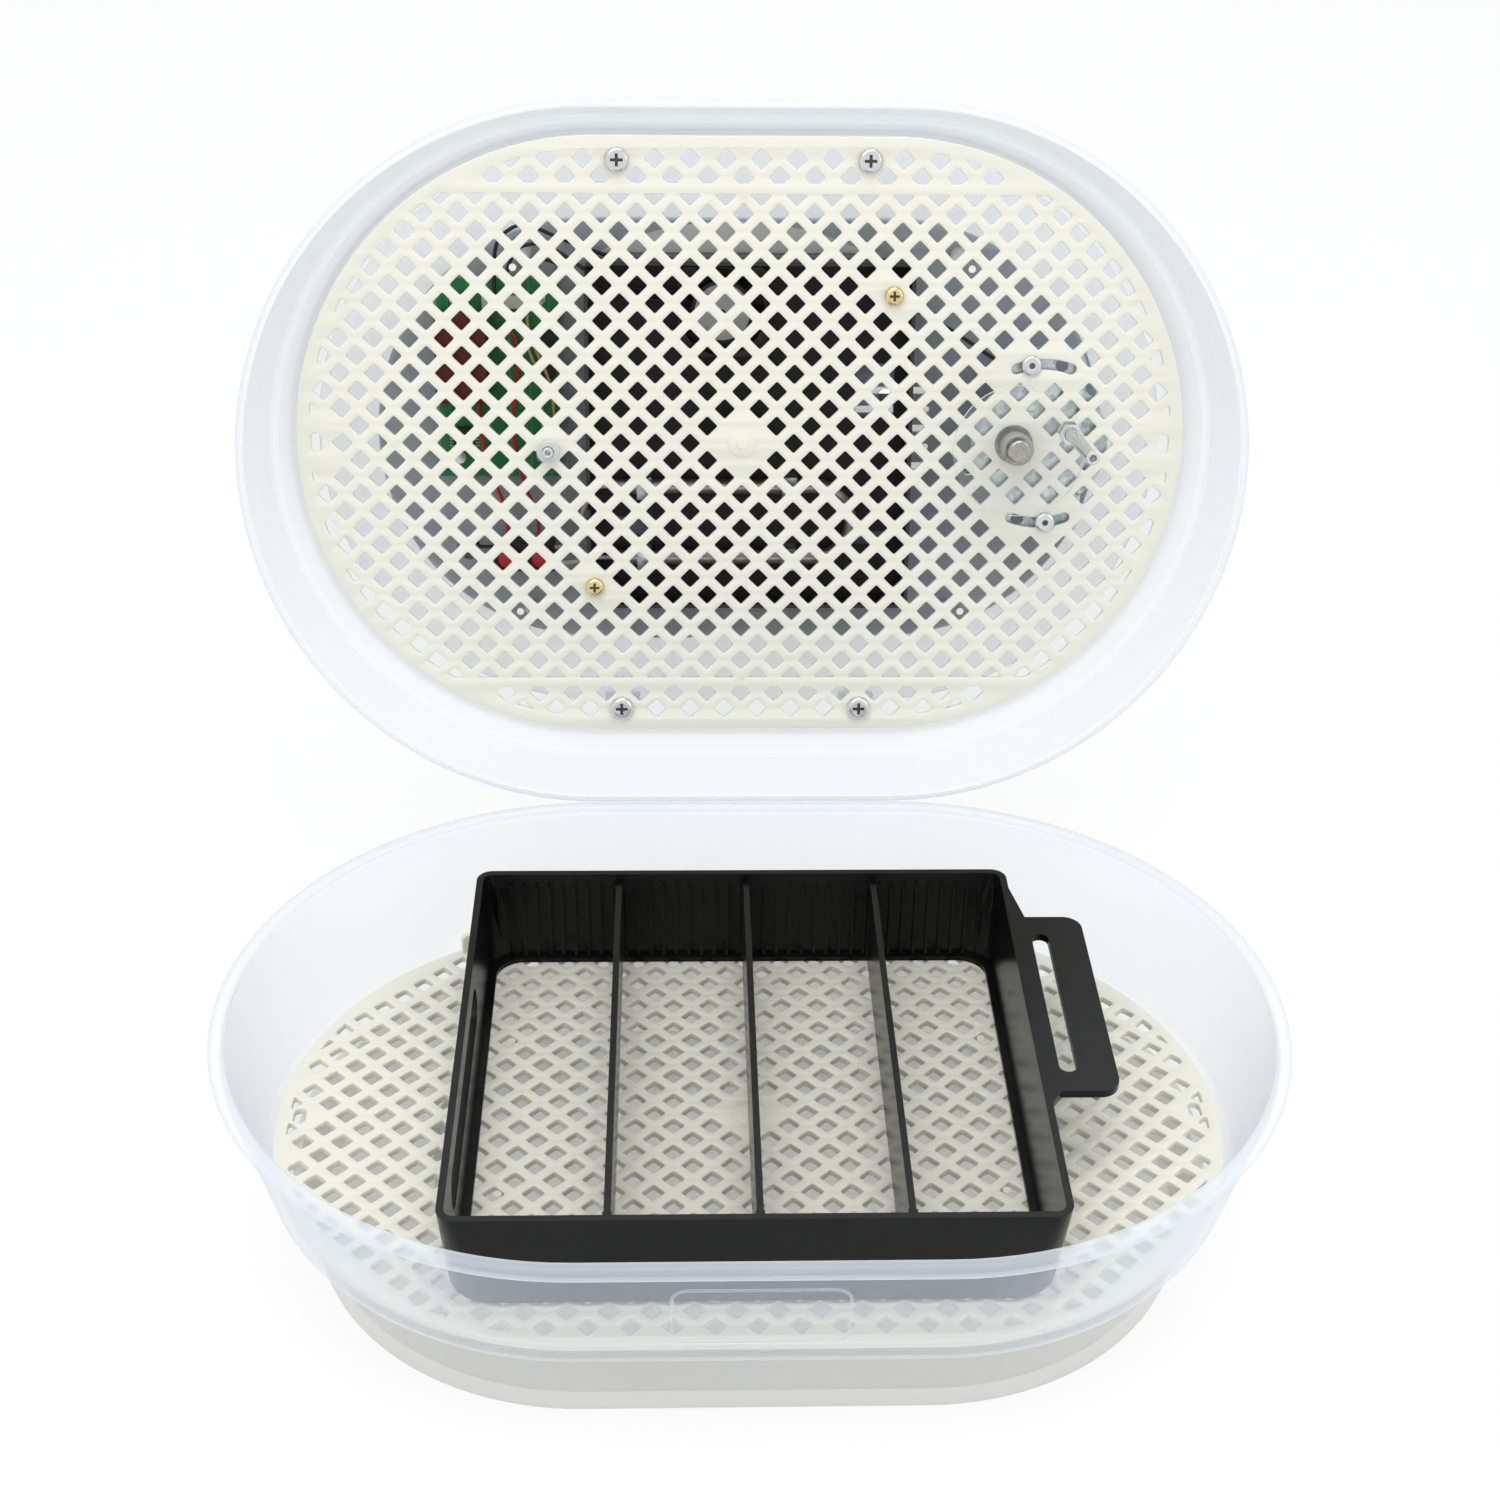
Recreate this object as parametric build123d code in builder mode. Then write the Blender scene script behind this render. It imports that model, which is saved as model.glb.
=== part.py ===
"""Egg incubator: a racetrack tub with a lattice floor and an egg tray, and a lid opened on its rear rim.

Millimetres, +Z up, +X to the right, -Y to the front. The origin is the middle of the tub's foot.
The lid is drawn in its own plane, lid_plane: x to the right, y away from the rear rim, z out of the
lid's mouth, so a depth into the lid is a negative offset of that plane.
"""

import os
from math import cos, radians, sin, tan

from build123d import *

# Shared outline: every racetrack has two straight sides and two half-round ends
half_straight = 59.0

# Tub
foot_radius = 101.5
lower_wall_height = 34.0
lower_wall_radius = 107.5
shoulder_height = 38.0
shoulder_radius = 115.5
waist_height = 42.0
waist_radius = 117.5
rim_height = 92.0
rim_bead_centre_radius = 129.3
rim_bead_radius = 3.0
tub_wall = 3.0
tub_floor = 6.0
ledge_height = 41.2
ledge_width = 3.8
seat_clearance = 0.6
channel_rib_radius = 58.0
channel_rib_thickness = 2.4
channel_wall_height = 30.0
panel_width = 58.0
panel_height = 33.0
panel_line = 1.2
panel_relief = 0.6
panel_centre_height = 66.0

# Lattice plates
lattice_pitch = 14.06
lattice_hole = 6.0
floor_grid_thickness = 2.8
floor_grid_margin = 4.0
tab_width = 15.0
tab_height = 8.0
tab_thickness = 2.4
tab_angle = 115.0
tab_inset = 1.6
end_hole_length = 8.0
end_hole_width = 4.6
end_hole_inset = 8.0
least_hole_area = 5.0

# Egg tray
tray_width = 208.0
tray_depth = 196.0
tray_height = 40.0
tray_draft = 1.5
tray_wall = 2.6
tray_corner_radius = 6.0
tray_foot_rounding = 10.0
tray_foot_chamfer = 2.0
tray_rest_x = -1.0
tray_flange_inset = 2.3
tray_flange_width = 3.0
tray_flange_thickness = 2.0
notch_pitch = 5.0
notch_count = 40
notch_rib_width = 1.2
notch_rib_depth = 1.6
notch_top_gap = 5.0
window_length = 112.0
window_height = 14.0
window_y = -18.0
window_below_rim = 15.0
handle_thickness = 3.0
handle_reach = 25.0
handle_rear = 66.0
handle_front = -36.0
handle_corner_radius = 7.0
crank_slot_rear = 55.0

# Dividers
divider_pitch = 50.0
divider_shift = 1.5
divider_thickness = 2.4
divider_height = 35.0
divider_end_gap = 0.4
divider_post_width = 3.2
divider_post_length = 3.0

# Lid: depths are counted from the plane of the rim bead's centre
lid_tilt = 14.24
lid_bead_centre_radius = 133.7
lid_bead_radius = 3.3
rim_gap = 0.36
lid_wall = 1.6
lid_mouth_radius = 135.0
lid_step_depth = 36.0
lid_step_radius = 129.8
lid_step_width = 1.6
lid_step_height = 1.5
lid_upper_depth = 63.0
lid_upper_radius = 122.4
lid_roof_depth = 72.2
lid_roof_radius = 116.0
lid_grid_depth = 47.8
lid_grid_thickness = 2.3
lid_grid_radius = 121.2
lid_grid_margin = 5.0
rail_offset = 101.0
rail_width = 4.0
pillar_x = 49.8
pillar_y = 112.0
pillar_radius = 4.6
screw_pad_radius = 10.5
screw_head_radius = 4.9
screw_head_height = 2.6
screw_shank_radius = 1.9
screw_hole_clearance = 0.2
screw_bite = 9.0
thread_clearance = 0.05

# Fan housing
housing_width = 133.0
housing_height = 142.0
housing_x = 3.0
housing_y = 1.5
housing_depth = 17.0
housing_wall = 1.6
housing_screw_x = 60.5
housing_screw_y = 59.7
housing_screw_head_radius = 3.9
housing_screw_shank_radius = 1.6
housing_boss_radius = 4.5
housing_corner_radius = 4.0
housing_pad_radius = 8.0
housing_windows = [(55, 19, 16, 22), (52, -43, 18, 6), (-45, -38, 12, 8)]
housing_notches = [(65, 11), (-22, 12), (-50, 10)]
notch_depth = 11.7
fan_x = -8.0
fan_y = 52.0
fan_size = 36.0
fan_thickness = 10.0
fan_bore_radius = 17.3
fan_hub_radius = 12.6
fan_hub_height = 7.5
fan_blade_count = 7
fan_blade_radius = 16.6
fan_blade_thickness = 1.0
fan_blade_width = 6.5
fan_blade_pitch = 35.0
fan_hub_wall = 1.2
fan_shaft_radius = 1.5
fan_boss_radius = 3.2
fan_boss_height = 5.0
fan_spoke_width = 2.4
fan_plate_thickness = 1.6
running_clearance = 0.05
heater_radius = 3.2
heater_near_y = -50.0
heater_far_y = -20.0
heater_reach = 46.0
heater_clip_width = 6.0
heater_clip_wall = 1.4
heater_clip_columns = (-40.0, 20.0)
heater_stand_off = 6.3
heater_end_gap = 8.5

# Control board and what it carries
board_x = -99.0
board_y = 23.5
board_width = 50.0
board_height = 81.0
board_thickness = 1.6
board_depth = 66.0
relay_width = 21.0
relay_length = 36.0
relay_height = 13.0
relay_x = -113.5
relay_y = 33.0
chip_size = 9.0
chip_height = 1.6
chip_x = -114.0
chip_y = -1.0
header_length = 20.0
header_width = 5.0
header_height = 6.0
header_x = -95.0
header_y = 55.0
capacitor_radius = 3.4
capacitor_height = 4.0
capacitor_x = -79.0
capacitor_y = 33.5
capacitor_spacing = 12.5
board_screw_inset = 8.0
board_screw_head_radius = 2.5
board_screw_head_height = 1.5
board_screw_shank_radius = 1.0
board_screw_bite = 6.0
board_post_radius = 2.6
terminal_width = 25.0
terminal_depth_size = 12.0
terminal_height = 14.0
terminal_x = -90.0
terminal_y = -49.5
terminal_cap_radius = 3.6
terminal_cap_height = 2.5
terminal_spacing = 14.0
wire_radius = 0.8
yellow_route = [(-82, 7, 62), (-81, 22, 60), (-86, 34, 61.5), (-90, 44, 63)]
white_route = [(-76.5, 6.5, 61.5), (-77.5, 22, 60.5), (-83, 34, 61.5), (-87, 44, 63)]
probe_wire_radius = 0.6
probe_wire_spacing = 2.0
bend_share = 0.45
probe_x = -78.6
probe_y = -2.9
probe_radius = 2.2
probe_bore_radius = 1.1
probe_length = 12.0
probe_stand_out = 6.0
probe_clip_radius = 4.6
probe_pad_radius = 6.0
probe_clip_height = 4.0

# Egg turner
crank_x = 111.0
crank_radius = 21.5
crank_rest_angle = 20.0
crank_disc_radius = 26.5
crank_disc_thickness = 2.0
crank_disc_stand_off = 14.0
crank_hub_radius = 6.3
crank_hub_gap = 4.0
crank_shaft_radius = 3.4
crank_shaft_bite = 5.0
crank_spigot_radius = 4.0
crank_screw_radius = 4.8
crank_screw_height = 2.2
crank_pin_radius = 2.6
crank_pin_length = 54.0
crank_nut_flat = 8.0
crank_nut_height = 3.5
crank_spare_hole_radius = 2.2
crank_short_throw = 12.5
crank_pin_bore_radius = 1.3
crank_pin_bore_depth = 8.0
slot_clearance = 0.55
shaft_hole_radius = 7.7
shaft_pad_radius = 13.0
motor_offset = 11.0
motor_radius = 27.0
motor_thickness = 14.5
motor_wall = 0.8
motor_boss_radius = 6.0
motor_boss_height = 7.0
motor_coil_radius = 24.0
motor_coil_height = 10.0
motor_bracket_gap = 1.5
bracket_thickness = 1.0
bracket_width = 36.0
bracket_height = 78.0
bracket_corner_radius = 8.0
bracket_hole_radius = 2.6
bracket_hole_angle = 76.0
rivet_pitch = 65.0
rivet_head_radius = 4.1
rivet_head_height = 1.6
rivet_shank_radius = 2.0
rivet_bore_radius = 1.2
rivet_spacer_radius = 3.4
rivet_upper_angle = 99.0
rivet_lower_angle = 275.5
arc_slot_span = 40.0
arc_slot_width = 4.4
arc_pad_radius = 6.5
motor_lead_angle = 118.0

# Top cover
cover_half_straight = 63.0
cover_radius = 87.0
cover_height = 14.0
cover_wall = 1.5
cover_edge_radius = 3.5
roof_window_margin = 4.0
roof_vent_radius = 3.0
roof_vent_pitch = 16.0
roof_lead_hole_radius = 5.0
roof_lead_hole_x = -114.0
roof_lead_hole_y = -48.5
display_width = 48.0
display_height = 22.0
display_thickness = 1.6
display_lip = 2.0
display_y = 38.0
display_module_inset = 1.0
display_module_height = 7.0
display_leg_length = 38.0
display_leg_width = 2.5
display_leg_spacing = 16.0
button_radius = 4.4
button_clearance = 0.3
button_stand_out = 1.6
button_flange_gap = 0.1
button_stem_radius = 2.0
button_edge_radius = 0.6
button_flange = 1.2
button_flange_thickness = 1.4
button_spacing = 11.5
button_y = 2.0
button_count = 4
button_travel = 1.2
switch_size = 6.0
switch_height = 5.0
switch_plunger_radius = 1.6
switch_plunger_height = 1.0
switch_gap = 0.3
vent_length = 40.0
vent_width = 3.0
vent_pitch = 8.0
vent_count = 5
vent_x = 60.0
cover_boss_x = 88.0
cover_boss_y = 74.0
cover_boss_radius = 3.5
cover_screw_head_radius = 3.0
cover_screw_head_height = 1.8
cover_screw_shank_radius = 1.4
cover_screw_bite = 8.0
inlet_x = -30.0
inlet_width = 18.0
inlet_height = 9.4
inlet_depth = 12.0
inlet_flange = 1.2
inlet_fit = 0.1
inlet_corner_radius = 2.0
inlet_centre_depth = 79.0
mains_spacing = 3.5
inlet_flange_thickness = 1.5
inlet_socket_width = 14.4
inlet_socket_height = 6.8
inlet_socket_depth = 9.0
inlet_pin_radius = 1.2
inlet_pin_spacing = 8.6
inlet_pin_length = 8.0

# What follows from them
ground = Plane.XY
floor_grid_top = ledge_height + floor_grid_thickness
wall_slope = (rim_bead_centre_radius - waist_radius) / (rim_height - waist_height)
seat_radius = waist_radius + wall_slope * (ledge_height - waist_height) - tub_wall
floor_grid_radius = seat_radius - seat_clearance
tray_base = floor_grid_top
tray_top = tray_base + tray_height
tray_inner_depth = tray_depth - 2 * tray_draft - 2 * tray_wall
crank_slot_width = 2 * (crank_pin_radius + slot_clearance)
crank_slot_front = -crank_radius - crank_pin_radius - 1.5
hinge_y = lid_bead_centre_radius
rim_step = lid_bead_centre_radius - rim_bead_centre_radius
bead_distance = rim_bead_radius + lid_bead_radius + rim_gap
hinge_z = rim_height + (bead_distance**2 - rim_step**2) ** 0.5
lid_up = Vector(0, sin(radians(lid_tilt)), cos(radians(lid_tilt)))
lid_out = Vector(0, -cos(radians(lid_tilt)), sin(radians(lid_tilt)))
lid_origin = Vector(0, hinge_y, hinge_z) + lid_up * lid_bead_centre_radius
lid_plane = Plane(origin=lid_origin, x_dir=(1, 0, 0), z_dir=lid_out)
grid_back_depth = lid_grid_depth + lid_grid_thickness
roof_inner_depth = lid_roof_depth - lid_wall
housing_back_depth = grid_back_depth + housing_depth
bracket_depth = grid_back_depth + motor_bracket_gap
motor_face_depth = bracket_depth + bracket_thickness
motor_x = crank_x + motor_offset
motor_back_depth = motor_face_depth + motor_thickness
arc_slot_radius = rivet_pitch / 2
roof_slope = (lid_upper_radius - lid_roof_radius) / (lid_roof_depth - lid_upper_depth)
mouth_slope = (lid_mouth_radius - lid_step_radius) / lid_step_depth
disc_back_depth = lid_grid_depth - crank_disc_stand_off
disc_front_depth = disc_back_depth - crank_disc_thickness
cover_top_depth = lid_roof_depth + cover_height
cover_inner_depth = cover_top_depth - cover_wall
board_back_depth = board_depth + board_thickness


def at_depth(depth):
    """The lid's plane moved into the lid by a depth."""
    return lid_plane.offset(-depth)


def in_lid(x, y, depth):
    """A point of the lid in the model's own frame."""
    return lid_plane.from_local_coords((x, y, -depth))


def racetrack(radius, straight=half_straight, mode=Mode.ADD):
    """Racetrack outline in the current sketch."""
    SlotCenterToCenter(2 * straight, 2 * radius, mode=mode)


def tapered(low_plane, low_radius, high_plane, high_radius, mode=Mode.ADD):
    """Racetrack solid with a straight draft between two planes, in the current part."""
    with BuildSketch(low_plane) as low:
        racetrack(low_radius)
    with BuildSketch(high_plane) as high:
        racetrack(high_radius)
    loft(sections=[low.sketch.face(), high.sketch.face()], ruled=True, mode=mode)


def pegs(places, radius, deep, shallow, mode=Mode.ADD):
    """Round pegs or holes between two depths of the lid, in the current part."""
    with BuildSketch(at_depth(deep)) as section:
        with Locations(*places):
            Circle(radius)
    extrude(section.sketch, amount=deep - shallow, mode=mode)


def blocks(places, width, height, deep, shallow, mode=Mode.ADD):
    """Square blocks or pockets between two depths of the lid, in the current part."""
    with BuildSketch(at_depth(deep)) as section:
        with Locations(*places):
            Rectangle(width, height)
    extrude(section.sketch, amount=deep - shallow, mode=mode)


def lead(route, radius):
    """Wire along points (x, y, depth) of the lid, each bend as wide as its runs allow, in the current part."""
    points = [in_lid(*spot) for spot in route]
    runs = [after - before for before, after in zip(points, points[1:])]
    bends = []
    for before, after in zip(runs, runs[1:]):
        half_turn = radians(before.get_angle(after)) / 2
        bends.append(bend_share * min(before.length, after.length) / tan(half_turn))
    with BuildLine() as path:
        FilletPolyline(*points, radius=bends)
    centre_line = path.wires()[0]
    with BuildSketch(Plane(origin=centre_line @ 0, z_dir=centre_line % 0)) as section:
        Circle(radius)
    sweep(sections=section.sketch, path=centre_line)
    print("wire", round(centre_line.length, 1), "mm, bend radii", [round(bend, 1) for bend in bends])


def drafted_box(top_width, top_depth, corner_radius, foot_chamfer=0.0, mode=Mode.ADD):
    """Rounded box of the tray's height, in the current part: its foot is narrower and rounder, to clear the tub."""
    sections = []
    levels = [(0.0, foot_chamfer), (tray_height, 0.0)]
    if foot_chamfer:
        levels.insert(1, (foot_chamfer, 0.0))
    for height, inset in levels:
        below_top = 1 - height / tray_height
        narrower = 2 * (tray_draft * below_top + inset)
        with BuildSketch(ground.offset(tray_base + height)) as section:
            with Locations((tray_rest_x, 0)):
                RectangleRounded(
                    top_width - narrower,
                    top_depth - narrower,
                    corner_radius + tray_foot_rounding * below_top - inset,
                )
        sections.append(section.sketch.face())
    loft(sections=sections, ruled=True, mode=mode)


def bead(plane, centre_radius, bead_radius):
    """Round bead along a racetrack, in the current part."""
    with BuildLine(plane) as path:
        Line((-half_straight, -centre_radius), (half_straight, -centre_radius))
        ThreePointArc(
            (half_straight, -centre_radius),
            (half_straight + centre_radius, 0),
            (half_straight, centre_radius),
        )
        Line((half_straight, centre_radius), (-half_straight, centre_radius))
        ThreePointArc(
            (-half_straight, centre_radius),
            (-half_straight - centre_radius, 0),
            (-half_straight, -centre_radius),
        )
    centre_line = path.wires()[0]
    with BuildSketch(Plane(origin=centre_line @ 0, z_dir=centre_line % 0)) as section:
        Circle(bead_radius)
    sweep(sections=section.sketch, path=centre_line)


def lattice_openings(region, radius, solid_spots):
    """Wires of the lattice's holes, cut off at the region's edge and left out over solid spots.

    A solid spot is (x, y, radius). The four holes round the middle stay solid too.
    """
    step = lattice_pitch / 2
    columns = int((half_straight + radius) / step)
    rows = int(radius / step)
    wires = []
    for column in range(-columns, columns + 1):
        for row in range(-rows, rows + 1):
            x = column * step
            y = row * step
            on_spot = any((x - spot[0]) ** 2 + (y - spot[1]) ** 2 < spot[2] ** 2 for spot in solid_spots)
            if (column + row) % 2 == 0 or abs(column) + abs(row) == 1 or on_spot:
                continue
            hole = Pos(x, y) * Rectangle(lattice_hole, lattice_hole, rotation=45)
            past_straight = max(abs(x) - half_straight, 0)
            from_middle = (past_straight**2 + y**2) ** 0.5
            near_rail = abs(abs(y) - rail_offset) < lattice_hole
            if from_middle > radius - lattice_hole or near_rail:
                wires += [face.outer_wire() for face in (hole & region).faces() if face.area > least_hole_area]
            else:
                wires.append(hole.face().outer_wire())
    return wires


def save(piece, name):
    """Label a finished piece and write its STEP file."""
    piece.part.label = name
    export_step(piece.part, "parts/" + name + ".step")


os.makedirs("parts", exist_ok=True)

# ---------------------------------------------------------------- tub
inner_floor_radius = foot_radius + tub_floor * (lower_wall_radius - foot_radius) / lower_wall_height - tub_wall
with BuildPart() as base_tub:
    tapered(ground, foot_radius, ground.offset(lower_wall_height), lower_wall_radius)
    tapered(
        ground.offset(lower_wall_height), lower_wall_radius,
        ground.offset(shoulder_height), shoulder_radius,
    )
    tapered(
        ground.offset(shoulder_height), shoulder_radius,
        ground.offset(waist_height), waist_radius,
    )
    tapered(
        ground.offset(waist_height), waist_radius,
        ground.offset(rim_height), rim_bead_centre_radius,
    )
    bead(ground.offset(rim_height), rim_bead_centre_radius, rim_bead_radius)
    tapered(
        ground.offset(tub_floor), inner_floor_radius,
        ground.offset(lower_wall_height), lower_wall_radius - tub_wall,
        mode=Mode.SUBTRACT,
    )
    tapered(
        ground.offset(lower_wall_height), lower_wall_radius - tub_wall,
        ground.offset(ledge_height), seat_radius - ledge_width,
        mode=Mode.SUBTRACT,
    )
    tapered(
        ground.offset(ledge_height), seat_radius,
        ground.offset(rim_height + rim_bead_radius),
        seat_radius + wall_slope * (rim_height + rim_bead_radius - ledge_height),
        mode=Mode.SUBTRACT,
    )
    with BuildSketch(ground.offset(tub_floor)):
        racetrack(channel_rib_radius)
        racetrack(channel_rib_radius - channel_rib_thickness, mode=Mode.SUBTRACT)
    extrude(amount=channel_wall_height)
    panel_radius = waist_radius + wall_slope * (panel_centre_height - waist_height)
    panel_plane = Plane(
        origin=(0, -panel_radius, panel_centre_height),
        x_dir=(1, 0, 0),
        z_dir=(0, -1, -wall_slope),
    )
    with BuildSketch(panel_plane):
        RectangleRounded(panel_width, panel_height, 6)
        RectangleRounded(
            panel_width - 2 * panel_line, panel_height - 2 * panel_line, 6 - panel_line, mode=Mode.SUBTRACT
        )
    extrude(amount=panel_relief)
save(base_tub, "base_tub")

# ---------------------------------------------------------------- floor grid
floor_outline = SlotCenterToCenter(2 * half_straight, 2 * floor_grid_radius)
floor_region = SlotCenterToCenter(2 * half_straight, 2 * (floor_grid_radius - floor_grid_margin))
end_x = half_straight + floor_grid_radius - end_hole_inset
end_holes = [
    (Pos(side * end_x, 0) * SlotOverall(end_hole_length, end_hole_width, rotation=90)).face().outer_wire()
    for side in (-1, 1)
]
end_spots = [(side * end_x, 0, end_hole_length) for side in (-1, 1)]
floor_openings = lattice_openings(floor_region, floor_grid_radius - floor_grid_margin, end_spots)
with BuildPart() as floor_grid:
    with BuildSketch(ground.offset(ledge_height)):
        add(Face(floor_outline.face().outer_wire(), floor_openings + end_holes))
    extrude(amount=floor_grid_thickness)
    tab_seat = floor_grid_radius - tab_inset
    with BuildSketch(ground.offset(floor_grid_top)):
        with Locations(Location((-half_straight, 0), tab_angle)):
            with Locations((tab_seat, 0)):
                Rectangle(tab_thickness, tab_width)
    extrude(amount=tab_height)
save(floor_grid, "floor_grid")

# ---------------------------------------------------------------- egg tray
with BuildPart() as tray_envelope:
    drafted_box(tray_width, tray_depth, tray_corner_radius, tray_foot_chamfer)

rib_y = tray_inner_depth / 2 + tray_draft / 2 - notch_rib_depth / 2
with BuildPart() as notch_ribs:
    with BuildSketch(ground.offset(tray_base)):
        with Locations((tray_rest_x + divider_shift, -rib_y), (tray_rest_x + divider_shift, rib_y)):
            with GridLocations(notch_pitch, 0, notch_count, 1):
                Rectangle(notch_rib_width, notch_rib_depth + tray_draft)
    extrude(amount=tray_height - notch_top_gap)
    add(tray_envelope.part, mode=Mode.INTERSECT)

with BuildPart() as egg_tray:
    add(tray_envelope.part)
    drafted_box(
        tray_width - 2 * tray_wall, tray_depth - 2 * tray_wall, tray_corner_radius - tray_wall,
        mode=Mode.SUBTRACT,
    )
    flange_width = tray_width - 2 * (tray_draft + tray_flange_inset)
    flange_depth = tray_depth - 2 * (tray_draft + tray_flange_inset)
    with BuildSketch(ground.offset(tray_base)):
        with Locations((tray_rest_x, 0)):
            RectangleRounded(
                flange_width, flange_depth, tray_corner_radius + tray_foot_rounding - tray_flange_inset
            )
            RectangleRounded(
                flange_width - 2 * tray_flange_width,
                flange_depth - 2 * tray_flange_width,
                tray_corner_radius + tray_foot_rounding - tray_flange_inset - tray_flange_width,
                mode=Mode.SUBTRACT,
            )
    extrude(amount=tray_flange_thickness)
    add(notch_ribs.part)
    with BuildSketch(Plane.YZ.offset(tray_rest_x - tray_width / 2 - tray_wall)):
        with Locations((window_y, tray_top - window_below_rim)):
            SlotOverall(window_length, window_height)
    extrude(amount=3 * tray_wall, mode=Mode.SUBTRACT)
    handle_root = tray_rest_x + tray_width / 2 - tray_wall / 2
    handle_edge = handle_root + tray_wall / 2 + handle_reach
    gusset = handle_root + 2 * tray_wall
    with BuildSketch(ground.offset(tray_top - handle_thickness)):
        with BuildLine():
            Polyline(
                (handle_root, tray_depth / 2 - tray_corner_radius),
                (gusset, handle_rear),
                (handle_edge, handle_rear),
                (handle_edge, handle_front),
                (gusset, handle_front),
                (handle_root, handle_front - 3 * tray_wall),
                close=True,
            )
        make_face()
        corners = vertices().filter_by(lambda corner: corner.X > handle_edge - 1)
        fillet(corners, handle_corner_radius)
        slot_length = crank_slot_rear - crank_slot_front
        with Locations((crank_x, (crank_slot_rear + crank_slot_front) / 2)):
            SlotOverall(slot_length, crank_slot_width, rotation=90, mode=Mode.SUBTRACT)
    extrude(amount=handle_thickness)
save(egg_tray, "egg_tray")

# ---------------------------------------------------------------- dividers
divider_length = tray_inner_depth - 2 * divider_end_gap
divider_base = tray_base + tray_flange_thickness
for number in range(1, 4):
    divider_x = tray_rest_x + divider_shift + (number - 2) * divider_pitch
    with BuildPart() as divider:
        with BuildSketch(ground.offset(divider_base)):
            with Locations((divider_x, 0)):
                Rectangle(divider_thickness, divider_length)
            post_y = (divider_length - divider_post_length) / 2
            with Locations((divider_x, -post_y), (divider_x, post_y)):
                Rectangle(divider_post_width, divider_post_length)
        extrude(amount=divider_height)
    save(divider, f"divider_{number}")

# ---------------------------------------------------------------- lid shell
grid_screw_places = [(x, y) for x in (-pillar_x, pillar_x) for y in (-pillar_y, pillar_y)]
cover_screw_places = [(x, y) for x in (-cover_boss_x, cover_boss_x) for y in (-cover_boss_y, cover_boss_y)]
step_bottom_depth = lid_step_depth + lid_step_height
step_bottom_radius = lid_step_radius - lid_step_width
roof_inner_radius = lid_roof_radius + (roof_slope - 1) * lid_wall
with BuildPart() as lid_shell:
    tapered(at_depth(0), lid_mouth_radius, at_depth(lid_step_depth), lid_step_radius)
    tapered(at_depth(lid_step_depth), lid_step_radius, at_depth(step_bottom_depth), step_bottom_radius)
    tapered(at_depth(step_bottom_depth), step_bottom_radius, at_depth(lid_upper_depth), lid_upper_radius)
    tapered(at_depth(lid_upper_depth), lid_upper_radius, at_depth(lid_roof_depth), lid_roof_radius)
    bead(lid_plane, lid_bead_centre_radius, lid_bead_radius)
    tapered(
        at_depth(-lid_bead_radius), lid_mouth_radius + mouth_slope * lid_bead_radius - lid_wall,
        at_depth(lid_step_depth), lid_step_radius - lid_wall,
        mode=Mode.SUBTRACT,
    )
    tapered(
        at_depth(lid_step_depth), lid_step_radius - lid_wall,
        at_depth(step_bottom_depth), step_bottom_radius - lid_wall,
        mode=Mode.SUBTRACT,
    )
    tapered(
        at_depth(step_bottom_depth), step_bottom_radius - lid_wall,
        at_depth(lid_upper_depth), lid_upper_radius - lid_wall,
        mode=Mode.SUBTRACT,
    )
    tapered(
        at_depth(lid_upper_depth), lid_upper_radius - lid_wall,
        at_depth(roof_inner_depth), roof_inner_radius,
        mode=Mode.SUBTRACT,
    )
    pegs(grid_screw_places, pillar_radius, roof_inner_depth, grid_back_depth)
    pegs(
        grid_screw_places, screw_shank_radius + thread_clearance,
        grid_back_depth + screw_bite, grid_back_depth,
        mode=Mode.SUBTRACT,
    )
    blocks(
        [(board_x, board_y)], board_width - 2 * roof_window_margin, board_height - 2 * roof_window_margin,
        lid_roof_depth, roof_inner_depth,
        mode=Mode.SUBTRACT,
    )
    pegs(
        cover_screw_places, cover_screw_shank_radius + screw_hole_clearance,
        lid_roof_depth, roof_inner_depth,
        mode=Mode.SUBTRACT,
    )
    vent_places = [(vent_x, y) for y in (-roof_vent_pitch, 0, roof_vent_pitch)]
    pegs(vent_places, roof_vent_radius, lid_roof_depth, roof_inner_depth, mode=Mode.SUBTRACT)
    pegs(
        [(roof_lead_hole_x, roof_lead_hole_y)], roof_lead_hole_radius,
        lid_roof_depth, roof_inner_depth,
        mode=Mode.SUBTRACT,
    )
save(lid_shell, "lid_shell")

# ---------------------------------------------------------------- lid grid
housing_screw_places = [(housing_screw_x, housing_screw_y), (-housing_screw_x, -housing_screw_y)]
lid_grid_outline = SlotCenterToCenter(2 * half_straight, 2 * lid_grid_radius)
lid_lattice_radius = lid_grid_radius - lid_grid_margin
rails = Pos(0, rail_offset) * Rectangle(2 * half_straight + 2 * lid_grid_radius, rail_width)
rails += Pos(0, -rail_offset) * Rectangle(2 * half_straight + 2 * lid_grid_radius, rail_width)
lid_region = SlotCenterToCenter(2 * half_straight, 2 * lid_lattice_radius) - rails
lid_end_x = half_straight + lid_grid_radius - end_hole_inset
arc_slots = [
    SlotArc(CenterArc((motor_x, 0), arc_slot_radius, middle - arc_slot_span / 2, arc_slot_span), arc_slot_width)
    for middle in (90, 270)
]
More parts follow.
